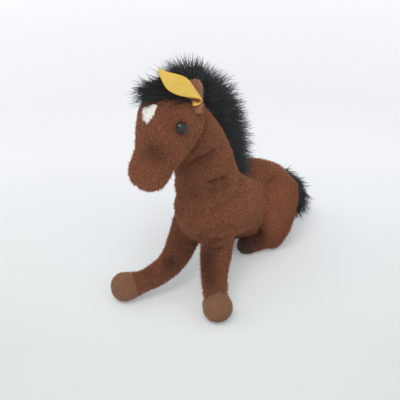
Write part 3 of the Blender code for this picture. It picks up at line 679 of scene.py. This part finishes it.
limb = {
    "foreleg": {"voxel": 0.0013, "rounds": 8, "grow": 0.0028, "last": 2},
    "hind_leg": {"voxel": 0.0013, "rounds": 8, "grow": 0.0021, "last": 2},
    "fill": 0.7,
    "seeds": (10, 2),  # the first leg's, and the step to the next
    "shoulder": (((174, 218), (174, 226)), 0.0030, 0.011),
    "shin": (((221, 256), (219, 270), (219, 282)), 0.0028, 0.010),
    "haunch": (((284, 186), (285, 200), (282, 215), (276, 230)), 0.0070, 0.020),
    "creases": {
        "foreleg_left": (
            (((199, 238), (209, 241), (219, 240), (230, 236)), 0.0022, 0.0018),
            (((198, 247), (208, 250), (219, 249), (229, 244)), 0.0022, 0.0018),
            (((203, 283), (212, 286), (222, 284)), 0.0014, 0.0018),
        ),
        "foreleg_right": (
            (((153, 262), (160, 270), (168, 278)), 0.0014, 0.0018),
            (((164, 250), (172, 257), (181, 264)), 0.0012, 0.0020),
        ),
    },
    # Painted shade on the forelegs under the chest and down their middles and under the belly, and painted light
    # along the forelegs' edges and on the haunch
    "tones": {
        "foreleg_left": (
            ((212, 244), 0.010, -0.45), ((208, 258), 0.009, -0.75), ((208, 270), 0.009, -0.70),
            ((211, 282), 0.007, -0.65), ((222, 262), 0.006, 0.15), ((222, 280), 0.005, 0.10),
        ),
        "foreleg_right": (
            ((184, 244), 0.013, -0.75), ((170, 264), 0.008, -0.90),
            ((150, 274), 0.007, -0.55), ((158, 260), 0.005, 0.10),
        ),
        "hind_leg_left": (((280, 196), 0.020, 0.45), ((274, 224), 0.014, 0.45), ((256, 240), 0.008, -0.9)),
    },
}
torso = makeSkin("torsoPlush", ["torso_filling", "neck_filling"], body["skin"])
limbs = [(kind, side) for kind in ("foreleg", "hind_leg") for side in sides]
legSkins = {}
for kind, side in limbs:
    name = f"{kind.replace('_', '')}Plush{side.capitalize()}"
    legSkins[kind, side] = makeSkin(name, [f"{kind}_filling_{side}"], limb[kind])


def meetTorso(kind, seam):
    # Blends the torso and a pair of legs into each other
    legs = [legSkins[kind, side] for side in sides]
    legTrees, tree = [skinTree(leg) for leg in legs], skinTree(torso)
    fillSeam(torso, legTrees, *seam)
    for leg in legs:
        fillSeam(leg, [tree], *seam)


def shapeShoulders():
    # Draws the right foreleg's top in under a fuller chest, and fills the left one's shin
    across = cameraAxes()[0]
    for obj, (pixels, amount, radius), way in (
        (legSkins["foreleg", "right"], limb["shoulder"], across),
        (legSkins["foreleg", "left"], limb["shin"], across),
        (torso, body["chest"], -across),
    ):
        pushSkin(obj, onSkin(skinTree(obj), pixels), amount, radius, way)
    meetTorso("foreleg", body["shoulderSeam"])


def shapeHaunches():
    # Fuller behind the hips than the stuffing alone
    outward = cameraAxes()[0]
    mirrored = Vector((-outward.x, outward.y, outward.z))
    left, right = (legSkins["hind_leg", side] for side in sides)
    pixels, amount, radius = limb["haunch"]
    spots = onSkin(skinTree(left), pixels)
    pushSkin(left, spots, amount, radius, outward)
    pushSkin(right, otherSide(spots), amount, radius, mirrored)
    pixels, amount, radius = body["rump"]
    spots = onSkin(skinTree(torso), pixels)
    pushSkin(torso, spots + otherSide(spots), amount, radius)
    meetTorso("hind_leg", body["seam"])


shapeShoulders()
shapeHaunches()
paint(torso, plush)
for crease in body["creases"]:
    pressCrease(torso, *crease)
paintShadeLightAndTone(torso, body["tones"])
setLay(torso, body["lay"])
setNap(torso)
torsoTree = skinTree(torso)
growStrands(torso, plush, dict(plushLook["strands"], Seed=body["seed"]))
finishPiece(torso, "foal", "plush", "torso_cover", "torso_filling", "neck_cover", "neck_filling")
print("torso and neck made")

face = {
    "skin": {"voxel": 0.0013, "rounds": 12, "grow": 0.0019, "last": 2},
    "fill": 0.8,
    "creases": ((((142, 150), (150, 148), (158, 151)), 0.0008, 0.0030),),
    # Painted shade in the hollow on the nose, round the eye, under the forelock and along the ear's foot, and
    # lighter places on the cheek
    "tones": (
        ((154, 150), 0.0085, -0.8), ((160, 158), 0.007, -0.3), ((166, 110), 0.011, -0.15),
        ((178, 128), 0.0072, -0.45), ((175, 142), 0.030, 0.12), ((191, 151), 0.010, 0.70),
        ((184, 160), 0.008, 0.15), ((140, 178), 0.010, 0.05), ((198, 115), 0.0034, -0.45),
        ((204, 111), 0.0034, -0.35),
    ),
    "lay": (((-0.004, -0.045, 0.158), (-0.14, -0.53, -0.84)), ((-0.01, -0.08, 0.13), (-0.14, -0.5, -0.8))),
    "earDent": (-0.0006, 0.008),
    "napAtEye": (0.0048, 0.5),
    "napAtEar": (0.008, 0.35),
    "patch": 0.0006,
    "seed": 2,
}


def middleOf(name):
    low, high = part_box(name)
    return (low + high) / 2


headPlush = makeSkin("headPlush", ["head_filling"], face["skin"])
for crease in face["creases"]:
    pressCrease(headPlush, *crease)
paintShadeLightAndTone(headPlush, face["tones"])
earFeet = [np.array(joints[f"ear_{side}_tip"]) for side in sides]
pushSkin(headPlush, earFeet, *face["earDent"])
paint(headPlush, plush)
setLay(headPlush, face["lay"])
eyeMiddles = {side: middleOf(f"eye_{side}") for side in sides}
atEyes = [(spot, *face["napAtEye"]) for spot in eyeMiddles.values()]
setNap(headPlush, atEyes + [(foot, *face["napAtEar"]) for foot in earFeet])

starLook = {
    "outline": (
        (143.8, 107.8), (147.0, 106.4), (149.2, 106.6), (151.6, 104.2), (157.3, 103.2), (157.4, 109.2),
        (155.6, 113.6), (152.4, 117.6), (150.6, 121.4), (147.4, 122.8), (145.0, 121.8), (143.6, 116.6),
        (143.0, 111.5),
    ),
    "pile": {
        "Root": rgb(250, 247, 240), "Tip": rgb(255, 253, 248), "Patch": rgb(246, 242, 234), "Patch Size": 260.0,
        "Patch Amount": 0.3, "Strand Spread": 0.12,
    },
    "strands": {"Length": 0.0021, "Stand": 0.35, "Jitter": 0.7, "Seed": 3},
}
forelockRoots = {
    "outline": (
        (150, 99), (158, 97), (170, 98), (181, 100), (190, 104), (193, 96), (180, 88), (160, 86), (150, 91),
    ),
    "facing": 0.1,  # how far the head's back turns away
    "halfWidth": 0.0075,
    "above": -0.005,
}
whitePlush = pileMaterial("whitePlush", dict(starLook, shader=plushLook["shader"]))


def insidePixels(obj, outline):
    # Which vertices the camera sees inside an outline of pixels
    right, up, back = (np.array(axis) for axis in cameraAxes())
    eye = np.array(view["look"]) + back * view["distance"]
    rel = verticesOf(obj) - eye
    scale = view["lens"] / view["sensor"] * view["pixels"]
    deep = -(rel @ back)
    x = view["pixels"] / 2 + rel @ right / deep * scale
    y = view["pixels"] / 2 - rel @ up / deep * scale
    inside = np.zeros(len(rel), bool)
    for (x1, y1), (x2, y2) in zip(outline, outline[1:] + outline[:1]):
        crosses = (y1 > y) != (y2 > y)
        inside ^= crosses & (x < (x2 - x1) * (y - y1) / (y2 - y1 + 1e-9) + x1)
    return inside & (normalsOf(obj) @ back > 0)


def atPoll(obj):
    # Which vertices lie on the head's back, where the forelock meets the mane
    rel, normals = verticesOf(obj) - np.array(headMiddle), normalsOf(obj)
    behind = normals @ np.array(-headAhead) > forelockRoots["facing"]
    middle = np.abs(rel @ np.array(headAcross)) < forelockRoots["halfWidth"]
    return behind & middle & (rel[:, 2] > forelockRoots["above"])


def cutPatch(skin, name, kept):
    # A thin patch of the head's skin
    patch = duplicate(skin, name)
    setMode("EDIT")
    bpy.ops.mesh.select_mode(type="VERT")
    bpy.ops.mesh.select_all(action="DESELECT")
    setMode("OBJECT")
    patch.data.vertices.foreach_set("select", ~kept)
    setMode("EDIT")
    bpy.ops.mesh.delete(type="VERT")
    setMode("OBJECT")
    thicken(patch, face["patch"], 1)
    return patch


def makeStar(skin):
    kept = insidePixels(skin, starLook["outline"])
    star = cutPatch(skin, "starPlush", kept)
    paint(star, whitePlush)
    setAttribute(skin, "nap", "FLOAT", napOf(skin) * ~kept)
    setNap(star)
    growStrands(star, whitePlush, {**plushLook["strands"], **starLook["strands"]})
    finishPiece(star, "head", "star", "forehead_star")


makeStar(headPlush)
headTree = skinTree(headPlush)
underForelock = insidePixels(headPlush, forelockRoots["outline"]) | atPoll(headPlush)
forelockPatch = cutPatch(headPlush, "forelockPatch", underForelock)
growStrands(headPlush, plush, dict(plushLook["strands"], Seed=face["seed"]))
finishPiece(headPlush, "head", "plush", "head_cover", "head_filling")
print("head made")

hoofLook = {
    "shrink": -0.0004,
    "seam": 0.0028,
    "touching": 0.0012,  # how near a cover lies to its hoof at their seam
    "pile": {
        "Root": rgb(128, 86, 58), "Tip": rgb(186, 132, 92), "Patch": rgb(140, 96, 66), "Patch Size": 260.0,
        "Patch Amount": 0.4, "Strand Spread": 0.25,
    },
    "shader": {"Roughness": 0.8, "Sheen_Weight": 0.3, "Sheen_Roughness": 0.4},
    "strands": {"Density": 1600000.0, "Length": 0.0009, "Width": 0.00020, "Stand": 0.6, "Jitter": 0.4},
}
hoofVelour = pileMaterial("hoofVelour", hoofLook)
# The hind hooves take a darker copy of the hoof velour: painted shade for where they lie in the shadow under the
# belly
shadedHoofTones = {"Root": rgb(70, 42, 30), "Tip": rgb(112, 70, 50), "Patch": rgb(60, 36, 26)}
shadedHindVelour = pileMaterial("shadedHindVelour", dict(hoofLook, pile=dict(hoofLook["pile"], **shadedHoofTones)))


def splitSkin(obj, name, point, way):
    # Parts a leg's skin at its hoof seam and returns the hoof's side
    other = duplicate(obj, name)
    for piece, sign in ((obj, 1), (other, -1)):
        pick(piece)
        setMode("EDIT")
        bpy.ops.mesh.select_all(action="SELECT")
        bpy.ops.mesh.bisect(plane_co=point, plane_no=way * sign, use_fill=True, clear_outer=True)
        setMode("OBJECT")
    return other


def hoofSeam(coverNode, hoofNode):
    # The seam's middle, and the way from it to the hoof's
    hoofPoints, coverPoints = verticesOf(nodes[hoofNode]), verticesOf(nodes[coverNode])
    apart = np.array([distances(hoofPoints, spot).min() for spot in coverPoints])
    seam = Vector(coverPoints[apart < hoofLook["touching"]].mean(axis=0))
    way = (middleOf(hoofNode) - seam).normalized()
    return seam + way * hoofLook["seam"], way


def makeLeg(kind, side, seed):
    hoofKind, hoofCloth = {"foreleg": ("fore_hoof", hoofVelour), "hind_leg": ("hind_hoof", shadedHindVelour)}[kind]
    bodyName, coverNode, hoofNode = f"{kind}_{side}", f"{kind}_cover_{side}", f"{hoofKind}_{side}"
    leg = legSkins[kind, side]
    for crease in limb["creases"].get(bodyName, ()):
        pressCrease(leg, *crease)
    paintShadeLightAndTone(leg, limb["tones"].get(bodyName, ()))
    seam, way = hoofSeam(coverNode, hoofNode)
    hoof = splitSkin(leg, f"{hoofKind.replace('_', '')}{side.capitalize()}", seam, way)
    swell(hoof, hoofLook["shrink"])
    hoofStrands = {**plushLook["strands"], **hoofLook["strands"]}
    for piece, material, strands in ((leg, plush, plushLook["strands"]), (hoof, hoofCloth, hoofStrands)):
        paint(piece, material)
        setLay(piece, ((middleOf(hoofNode) - floorPoint, way),))
        setNap(piece)
        growStrands(piece, material, dict(strands, Seed=seed + (piece is hoof)))
    finishPiece(leg, bodyName, "plush", coverNode, f"{kind}_filling_{side}")
    finishPiece(hoof, bodyName, "hoof", hoofNode)
    print(kind, side, "made")


firstSeed, seedStep = limb["seeds"]
for index, (kind, side) in enumerate(limbs):
    makeLeg(kind, side, firstSeed + index * seedStep)


# Hair: long black strands from a core inside each tuft
hairLook = {
    "pile": {
        "Root": rgb(8, 11, 12), "Tip": rgb(38, 46, 49), "Patch": rgb(16, 20, 22), "Patch Size": 160.0,
        "Patch Amount": 0.5, "Strand Spread": 0.6,
    },
    "shader": {"Roughness": 0.6, "Sheen_Weight": 0.1, "Sheen_Roughness": 0.5},
    "strands": {
        "Density": 700000.0, "Length": 0.0105, "Spread": 0.45, "Width": 0.00024, "Points": 5, "Stand": 0.5,
        "Jitter": 0.5, "Bend": 0.15, "Droop": 0.12, "Curl": 0.5, "Curl Size": 140.0,
    },
}
hair = pileMaterial("blackHair", hairLook)

plainCore = {
    "voxel": 0.0013,
    "rounds": 6,
    "grow": -0.0026,
    "reach": 0.0080,
    "depth": 0.0015,
    "heights": (1.0, 1.0),  # how high it stands at its rear and at its front, as shares
}
tufts = {
    "mane": {
        "body": "foal",
        "seed": 31,
        "skin": torsoTree,
        "core": plainCore,
        "strands": {},
        "lay": (
            ((0, -0.022, 0.182), (0.0, -0.9, 0.6)), ((0, -0.01, 0.16), (0.25, 0.9, 0.5)),
            ((0, 0.02, 0.11), (0.3, 0.8, -0.1)), ((0, 0.02, 0.09), (0.3, 0.6, -0.7)),
        ),
    },
    "forelock": {
        "body": "head",
        "seed": 32,
        "skin": headTree,
        "core": dict(plainCore, heights=(0.62, 0.34), reach=0.0060),
        "strands": {"Length": 0.0120, "Stand": 0.16, "Jitter": 0.28, "Density": 900000.0},
        "lay": (
            ((0.004, -0.014, 0.178), (0.10, 0.90, 0.25)), ((0.000, -0.016, 0.190), (0.05, 0.80, 0.60)),
            ((0.008, -0.024, 0.190), (0.25, 0.10, 1.00)), ((-0.008, -0.022, 0.190), (-0.35, -0.30, 0.90)),
            ((-0.010, -0.045, 0.185), (-0.50, -0.80, 0.22)), ((-0.017, -0.062, 0.178), (-0.60, -0.95, 0.12)),
            ((0.006, -0.052, 0.172), (-0.65, -0.70, 0.05)),
        ),
        "patch": forelockPatch,
    },
    "tail": {
        "body": "tail",
        "seed": 33,
        "skin": torsoTree,
        "core": plainCore,
        "strands": {"Length": 0.0072, "Stand": 0.3},
        "lay": (((0.01, 0.11, 0.05), (0.3, 0.7, -0.5)), ((0.02, 0.115, 0.01), (0.4, 0.3, -0.9))),
    },
}


def makeHair(source, tuft):
    core = tuft["core"]
    obj = copyNode(f"{source}Hair", source)
    roundOff(obj, core)
    points = verticesOf(obj)
    ahead = points @ np.array(headAhead)
    share = (ahead - ahead.min()) / (ahead.max() - ahead.min())
    rear, front = core["heights"]
    foot = points[:, 2].min()
    points[:, 2] = foot + (points[:, 2] - foot) * (rear + (front - rear) * share)
    moveVertices(obj, points)
    sinkRoots(obj, tuft["skin"], core["reach"], core["depth"])
    if "patch" in tuft:
        joinInto(obj, [tuft["patch"]])
    paint(obj, hair)
    setLay(obj, tuft["lay"], flat=False)
    setNap(obj)
    growStrands(obj, hair, {**hairLook["strands"], **tuft["strands"], "Seed": tuft["seed"]})
    finishPiece(obj, tuft["body"], "hair", source)
    print(source, "made")


for source, tuft in tufts.items():
    makeHair(source, tuft)


# Ears
earLook = {
    "pile": {
        "Root": rgb(150, 98, 64), "Tip": rgb(212, 152, 108), "Patch": rgb(166, 112, 78), "Patch Size": 260.0,
        "Patch Amount": 0.35, "Strand Spread": 0.25,
    },
    "rounds": 4,
    "foot": (0, 0, -0.002),
    "tip": (0, 0, 0.022),
    "footOut": 0.0016,
    "footWide": 1.1,
    "footIn": {"left": 0.0034, "right": -0.0034},
    "tipDown": {"left": 0.0015, "right": 0.0064},
    "tipIn": {"left": 0.0, "right": 0.7},
    "sewn": (0.0048, 0.0004),
    "radius": 0.009,
    "strands": {"Density": 1800000.0, "Width": 0.0002},
    "pieces": {
        # Each one's node, slot, voxel size and length of pile
        "earPlush": ("ear", "plush", 0.0006, 0.0010),
        "earLining": ("ear_lining", "lining", 0.0003, 0.0006),
    },
    "seeds": {"left": 41, "right": 43},
}
earVelour = pileMaterial("earVelour", dict(earLook, shader=hoofLook["shader"]))


def shapeEar(obj, side):
    # Widens the ear's foot over the head's pile and sews it down, and lowers its tip
    foot, tip = (np.array(joints[f"ear_{side}_tip"] + Vector(earLook[end])) for end in ("foot", "tip"))
    outward = np.array(cameraAxes()[2])
    if side == "right":
        across = np.array(headAcross)
        outward = outward - 2 * across * (outward @ across)
    sideways = np.array((-outward[1], outward[0], 0))
    points = verticesOf(obj)
    low = bell(points[:, 2] - foot[2], earLook["radius"])
    offset = (points - foot) @ sideways * earLook["footWide"] - earLook["footIn"][side]
    points += sideways * (offset * low)[:, None]
    moveVertices(obj, points)
    pushSkin(obj, [foot], earLook["footOut"], earLook["radius"], outward)
    way = headAcross * earLook["tipIn"][side] - upward
    pushSkin(obj, [tip], earLook["tipDown"][side], earLook["radius"], way)
    sinkRoots(obj, headTree, *earLook["sewn"])


def makeEar(side):
    for name, (source, slot, voxel, length) in earLook["pieces"].items():
        obj = copyNode(f"{name}{side.capitalize()}", f"{source}_{side}")
        remesh(obj, voxel)
        soften(obj, earLook["rounds"])
        shapeEar(obj, side)
        paint(obj, earVelour)
        setLay(obj, ((headMiddle - floorPoint, upward),))
        setNap(obj)
        strands = {**plushLook["strands"], **earLook["strands"], "Length": length, "Seed": earLook["seeds"][side]}
        growStrands(obj, earVelour, strands)
        finishPiece(obj, f"ear_{side}", slot, f"{source}_{side}")
    print("ear", side, "made")


for side in sides:
    makeEar(side)


# Ribbon: a woven leaf that hangs from the ear and curls where it is sewn on
ribbonLook = {
    "rows": (
        # Its top edge's pixel, its bottom edge's, and how far each stands off its plane, in millimetres
        (158.0, 67.6, 158.4, 68.6, 0.0, 0.0), (161.5, 69.6, 159.6, 75.0, 0.4, 0.0),
        (167.5, 71.8, 162.6, 82.0, 0.9, 0.2), (173.0, 73.2, 166.4, 88.4, 1.2, 0.5),
        (178.5, 74.6, 171.6, 92.4, 1.3, 0.6), (184.0, 76.6, 177.6, 95.0, 1.2, 0.5),
        (188.5, 79.8, 184.4, 96.6, 0.8, 0.6), (192.4, 84.8, 190.4, 97.4, 0.2, 1.0),
        (196.0, 90.2, 194.8, 98.0, -0.3, 1.6), (199.4, 94.8, 198.4, 98.6, -0.6, 2.2),
        (201.0, 98.4, 201.2, 100.0, -1.4, 2.0), (199.4, 101.0, 200.0, 103.4, -2.2, 1.2),
        (196.0, 102.0, 196.6, 105.4, -2.6, 0.6), (192.4, 101.8, 192.6, 105.4, -2.6, 0.4),
    ),
    "thickness": 0.0005,
    "bow": 0.0006,  # how far its middle stands out across its width
    "across": 12,
    "between": 6,
    "run": (-0.20, 0.74, 0.64),  # across, ahead and up
    "tilt": 0.60,
    "facing": 45.0,
    "threads": 900.0,
    "clouds": 160.0,
    "hem": (8.0, -6.8),
    "gapShare": 0.25,
    "tones": {
        "deep": rgb(214, 174, 60), "pale": rgb(232, 196, 92),
        "selvage": rgb(244, 186, 30), "gaps": rgb(176, 128, 40),
    },
}


def ribbonPlane():
    across, ahead, up = ribbonLook["run"]
    run = (headAcross * across + headAhead * ahead + upward * up).normalized()
    angle = math.radians(ribbonLook["facing"])
    facing = headAhead * math.cos(angle) + headAcross * math.sin(angle) + upward * ribbonLook["tilt"]
    facing -= run * facing.dot(run)
    return joints["ribbon_flap"], facing.normalized()


def splineRow(rows, place):
    # A row on the smooth curve through the rows, where place counts rows
    first = max(0, min(int(place), len(rows) - 2))
    t = place - first
    near = [np.array(rows[max(0, min(first + step, len(rows) - 1))]) for step in (-1, 0, 1, 2)]
    before, start, end, after = near
    square = 2 * before - 5 * start + 4 * end - after
    cube = 3 * start - before - 3 * end + after
    return start + ((end - before) * t + square * t**2 + cube * t**3) / 2


def makeRibbon():
    origin, facing = ribbonPlane()
    rows = ribbonLook["rows"]
    count = ribbonLook["between"] * (len(rows) - 1)
    deselect()
    bpy.ops.mesh.primitive_grid_add(x_subdivisions=ribbonLook["across"], y_subdivisions=count, size=1)
    ribbon = bpy.context.view_layer.objects.active
    ribbon.name = ribbon.data.name = "earRibbon"
    edge = []
    for vertex in ribbon.data.vertices:
        across, place = vertex.co.x + 0.5, (vertex.co.y + 0.5) * (len(rows) - 1)
        topX, topY, lowX, lowY, topOff, lowOff = splineRow(rows, place)
        ends = []
        for x, y, off in ((topX, topY, topOff), (lowX, lowY, lowOff)):
            start, way = pixelRay(x, y)
            lift = origin + facing * off * millimetre
            ends.append(start + way * ((lift - start).dot(facing) / way.dot(facing)))
        vertex.co = ends[0].lerp(ends[1], across) + facing * ribbonLook["bow"] * math.sin(math.pi * across)
        edge.append(abs(across - 0.5) * 2)
    setAttribute(ribbon, "edge", "FLOAT", edge)
    thicken(ribbon, ribbonLook["thickness"], 0)
    shadeSmooth(ribbon)
    return ribbon


def makeRibbonMaterial():
    material, tree, shader = newMaterial("yellowRibbon", Roughness=0.55, Sheen_Weight=0.2)
    place = objectPlace(tree)
    links = {"Vector": place, "Scale": ribbonLook["threads"], "Distortion": 0.4}
    threads = [node(tree, "ShaderNodeTexWave", links, bands_direction=way).outputs["Fac"] for way in ("X", "Z")]
    weave = mathNode(tree, "MULTIPLY", *threads)
    links = {"Vector": place, "Scale": ribbonLook["clouds"], "Detail": 3.0}
    cloud = node(tree, "ShaderNodeTexNoise", links).outputs["Fac"]
    tones = ribbonLook["tones"]
    base = mixColour(tree, cloud, tones["deep"], tones["pale"])
    selvage = mathNode(tree, "MULTIPLY_ADD", attributeNode(tree, "edge"), *ribbonLook["hem"], clamp=True)
    base = mixColour(tree, selvage, base, tones["selvage"])
    shown = mixColour(tree, mathNode(tree, "MULTIPLY", weave, ribbonLook["gapShare"]), base, tones["gaps"])
    tree.links.new(shown, shader.inputs["Base Color"])
    bump = node(tree, "ShaderNodeBump", {"Height": weave, "Strength": 0.3, "Distance": 0.0001})
    tree.links.new(bump.outputs["Normal"], shader.inputs["Normal"])
    return material


earRibbon = makeRibbon()
paint(earRibbon, makeRibbonMaterial())
finishPiece(earRibbon, "ribbon", "ribbon", "ear_ribbon")
print("ribbon made")


# Eyes: polished domes, and their washers
eyeLook = {
    "flatter": {"left": 0.05, "right": 0.25},
    "sink": 0.0018,
    "levels": 2,
    "tones": {"Dark": rgb(2, 2, 3), "Light": rgb(8, 7, 8), "Scale": 900.0},
    "shader": {"Roughness": 0.06, "Specular_IOR_Level": 0.5},
}
washerLook = {
    "tones": {"Dark": rgb(222, 222, 216), "Light": rgb(236, 235, 230), "Scale": 700.0},
    "shader": {"Roughness": 0.45},
}


def makeEye(side, material):
    eye = copyNode(f"eyeDome{side.capitalize()}", f"eye_{side}")
    smooth = eye.modifiers.new("round", "SUBSURF")
    smooth.levels = smooth.render_levels = eyeLook["levels"]
    finishModifiers(eye)
    axis = np.array((eyeMiddles[side] - middleOf(f"eye_washer_{side}")).normalized())
    points = verticesOf(eye)
    reach = (points - np.array(eyeMiddles[side])) @ axis
    moveVertices(eye, points - axis * (reach * eyeLook["flatter"][side] + eyeLook["sink"])[:, None])
    shadeSmooth(eye)
    paint(eye, material)
    finishPiece(eye, "head", "eye", f"eye_{side}")


def makeEyes():
    polished = groupMaterial("glossyEye", speckleGroup, eyeLook["tones"], **eyeLook["shader"])
    plain = groupMaterial("washerPlastic", speckleGroup, washerLook["tones"], **washerLook["shader"])
    for side in sides:
        makeEye(side, polished)
        paint(nodes[f"eye_washer_{side}"], plain)


makeEyes()
print("eyes made")

# Floor and light
floorLook = {
    "size": 12,
    "place": (0, 3, 0),
    # The floor right under and round the toy is brighter: painted light that lightens the toy's shadow
    "under": rgb(231, 235, 234),
    "near": rgb(221, 226, 222),
    "far": rgb(253, 254, 255),
    "shown": 0.25,  # the share of its tone that is shown as it is, so that the shadow stays light
    "behind": (-0.5, 0.87, 0),  # the way that the camera looks over it
    # How fast each rises with the distance in metres, and where it starts
    "nearRamp": (8.0, -0.9),
    "behindRamp": (3.0, 0.4),
    "aroundRamp": (2.0, -0.6),
    "glowRamp": (0.335, -0.140),
    "glow": 0.42,  # the most that far places glow
}
studio = {
    "sky": (0.93, 0.96, 1.0, 1),
    "skyStrength": 0.62,
    "backdrop": (0.97, 0.985, 1.0, 1),
    "aim": (0, 0, 0.06),
    "lamps": {
        # Each one's place, size and power
        "keyLamp": ((-0.9, -0.9, 1.6), 1.2, 3),
        "topLamp": ((0.27, -0.95, 1.34), 0.7, 10.4),
        "fillLamp": ((1.5, -0.8, 1.0), 1.4, 4),
    },
}


def seenDirectly(tree):
    # 1 where the camera, a reflection or glass sees the surface
    path = node(tree, "ShaderNodeLightPath").outputs
    seen = mathNode(tree, "ADD", path["Is Camera Ray"], path["Is Glossy Ray"], clamp=True)
    return mathNode(tree, "ADD", seen, path["Is Transmission Ray"], clamp=True)


def ramp(tree, value, name):
    return mathNode(tree, "MULTIPLY_ADD", value, *floorLook[name], clamp=True)


def makeFloorMaterial():
    material, tree, shader = newMaterial("paleFloor", Roughness=0.9, Specular_IOR_Level=0.1)
    place = objectPlace(tree)
    away = node(tree, "ShaderNodeVectorMath", {0: place}, operation="LENGTH").outputs["Value"]
    tone = mixColour(tree, ramp(tree, away, "nearRamp"), floorLook["under"], floorLook["near"])
    links = {0: place, 1: floorLook["behind"]}
    behind = node(tree, "ShaderNodeVectorMath", links, operation="DOT_PRODUCT").outputs["Value"]
    far = mathNode(tree, "MAXIMUM", ramp(tree, behind, "behindRamp"), ramp(tree, away, "aroundRamp"))
    tone = mixColour(tree, far, tone, floorLook["far"])
    seen = seenDirectly(tree)
    shown = mathNode(tree, "MULTIPLY", seen, floorLook["shown"])
    lit = mathNode(tree, "SUBTRACT", 1.0, shown)
    tree.links.new(vectorNode(tree, "SCALE", {0: tone, "Scale": lit}), shader.inputs["Base Color"])
    glow = mathNode(tree, "MINIMUM", ramp(tree, away, "glowRamp"), floorLook["glow"])
    glow = mathNode(tree, "MULTIPLY", glow, seen)
    distant = vectorNode(tree, "SCALE", {0: floorLook["far"][:3], "Scale": glow})
    near = vectorNode(tree, "SCALE", {0: tone, "Scale": shown})
    tree.links.new(vectorNode(tree, "ADD", {0: near, 1: distant}), shader.inputs["Emission Color"])
    shader.inputs["Emission Strength"].default_value = 1.0
    return material


def makeFloor():
    deselect()
    bpy.ops.mesh.primitive_plane_add(size=floorLook["size"], location=floorLook["place"])
    floor = bpy.context.view_layer.objects.active
    floor.name = floor.data.name = "floor"
    placeInMesh(floor)
    paint(floor, makeFloorMaterial())


def makeLamps():
    for name, (place, size, power) in studio["lamps"].items():
        data = bpy.data.lights.new(name, "AREA")
        data.size, data.energy = size, power
        lamp = bpy.data.objects.new(name, data)
        bpy.context.scene.collection.objects.link(lamp)
        lamp.location = place
        way = Vector(studio["aim"]) - lamp.location
        lamp.rotation_euler = way.to_track_quat("-Z", "Y").to_euler()


def makeWorld():
    world = bpy.data.worlds.new("studio")
    world.use_nodes = True
    tree = world.node_tree
    sky = tree.nodes["Background"]
    sky.inputs["Color"].default_value = studio["sky"]
    sky.inputs["Strength"].default_value = studio["skyStrength"]
    backdrop = node(tree, "ShaderNodeBackground", {"Color": studio["backdrop"], "Strength": 1.0})
    links = {0: seenDirectly(tree), 1: sky.outputs[0], 2: backdrop.outputs[0]}
    shown = node(tree, "ShaderNodeMixShader", links).outputs[0]
    tree.links.new(shown, tree.nodes["World Output"].inputs["Surface"])
    bpy.context.scene.world = world
    bpy.context.scene.view_settings.view_transform = "Standard"


makeFloor()
makeLamps()
makeWorld()
print("floor and light set")
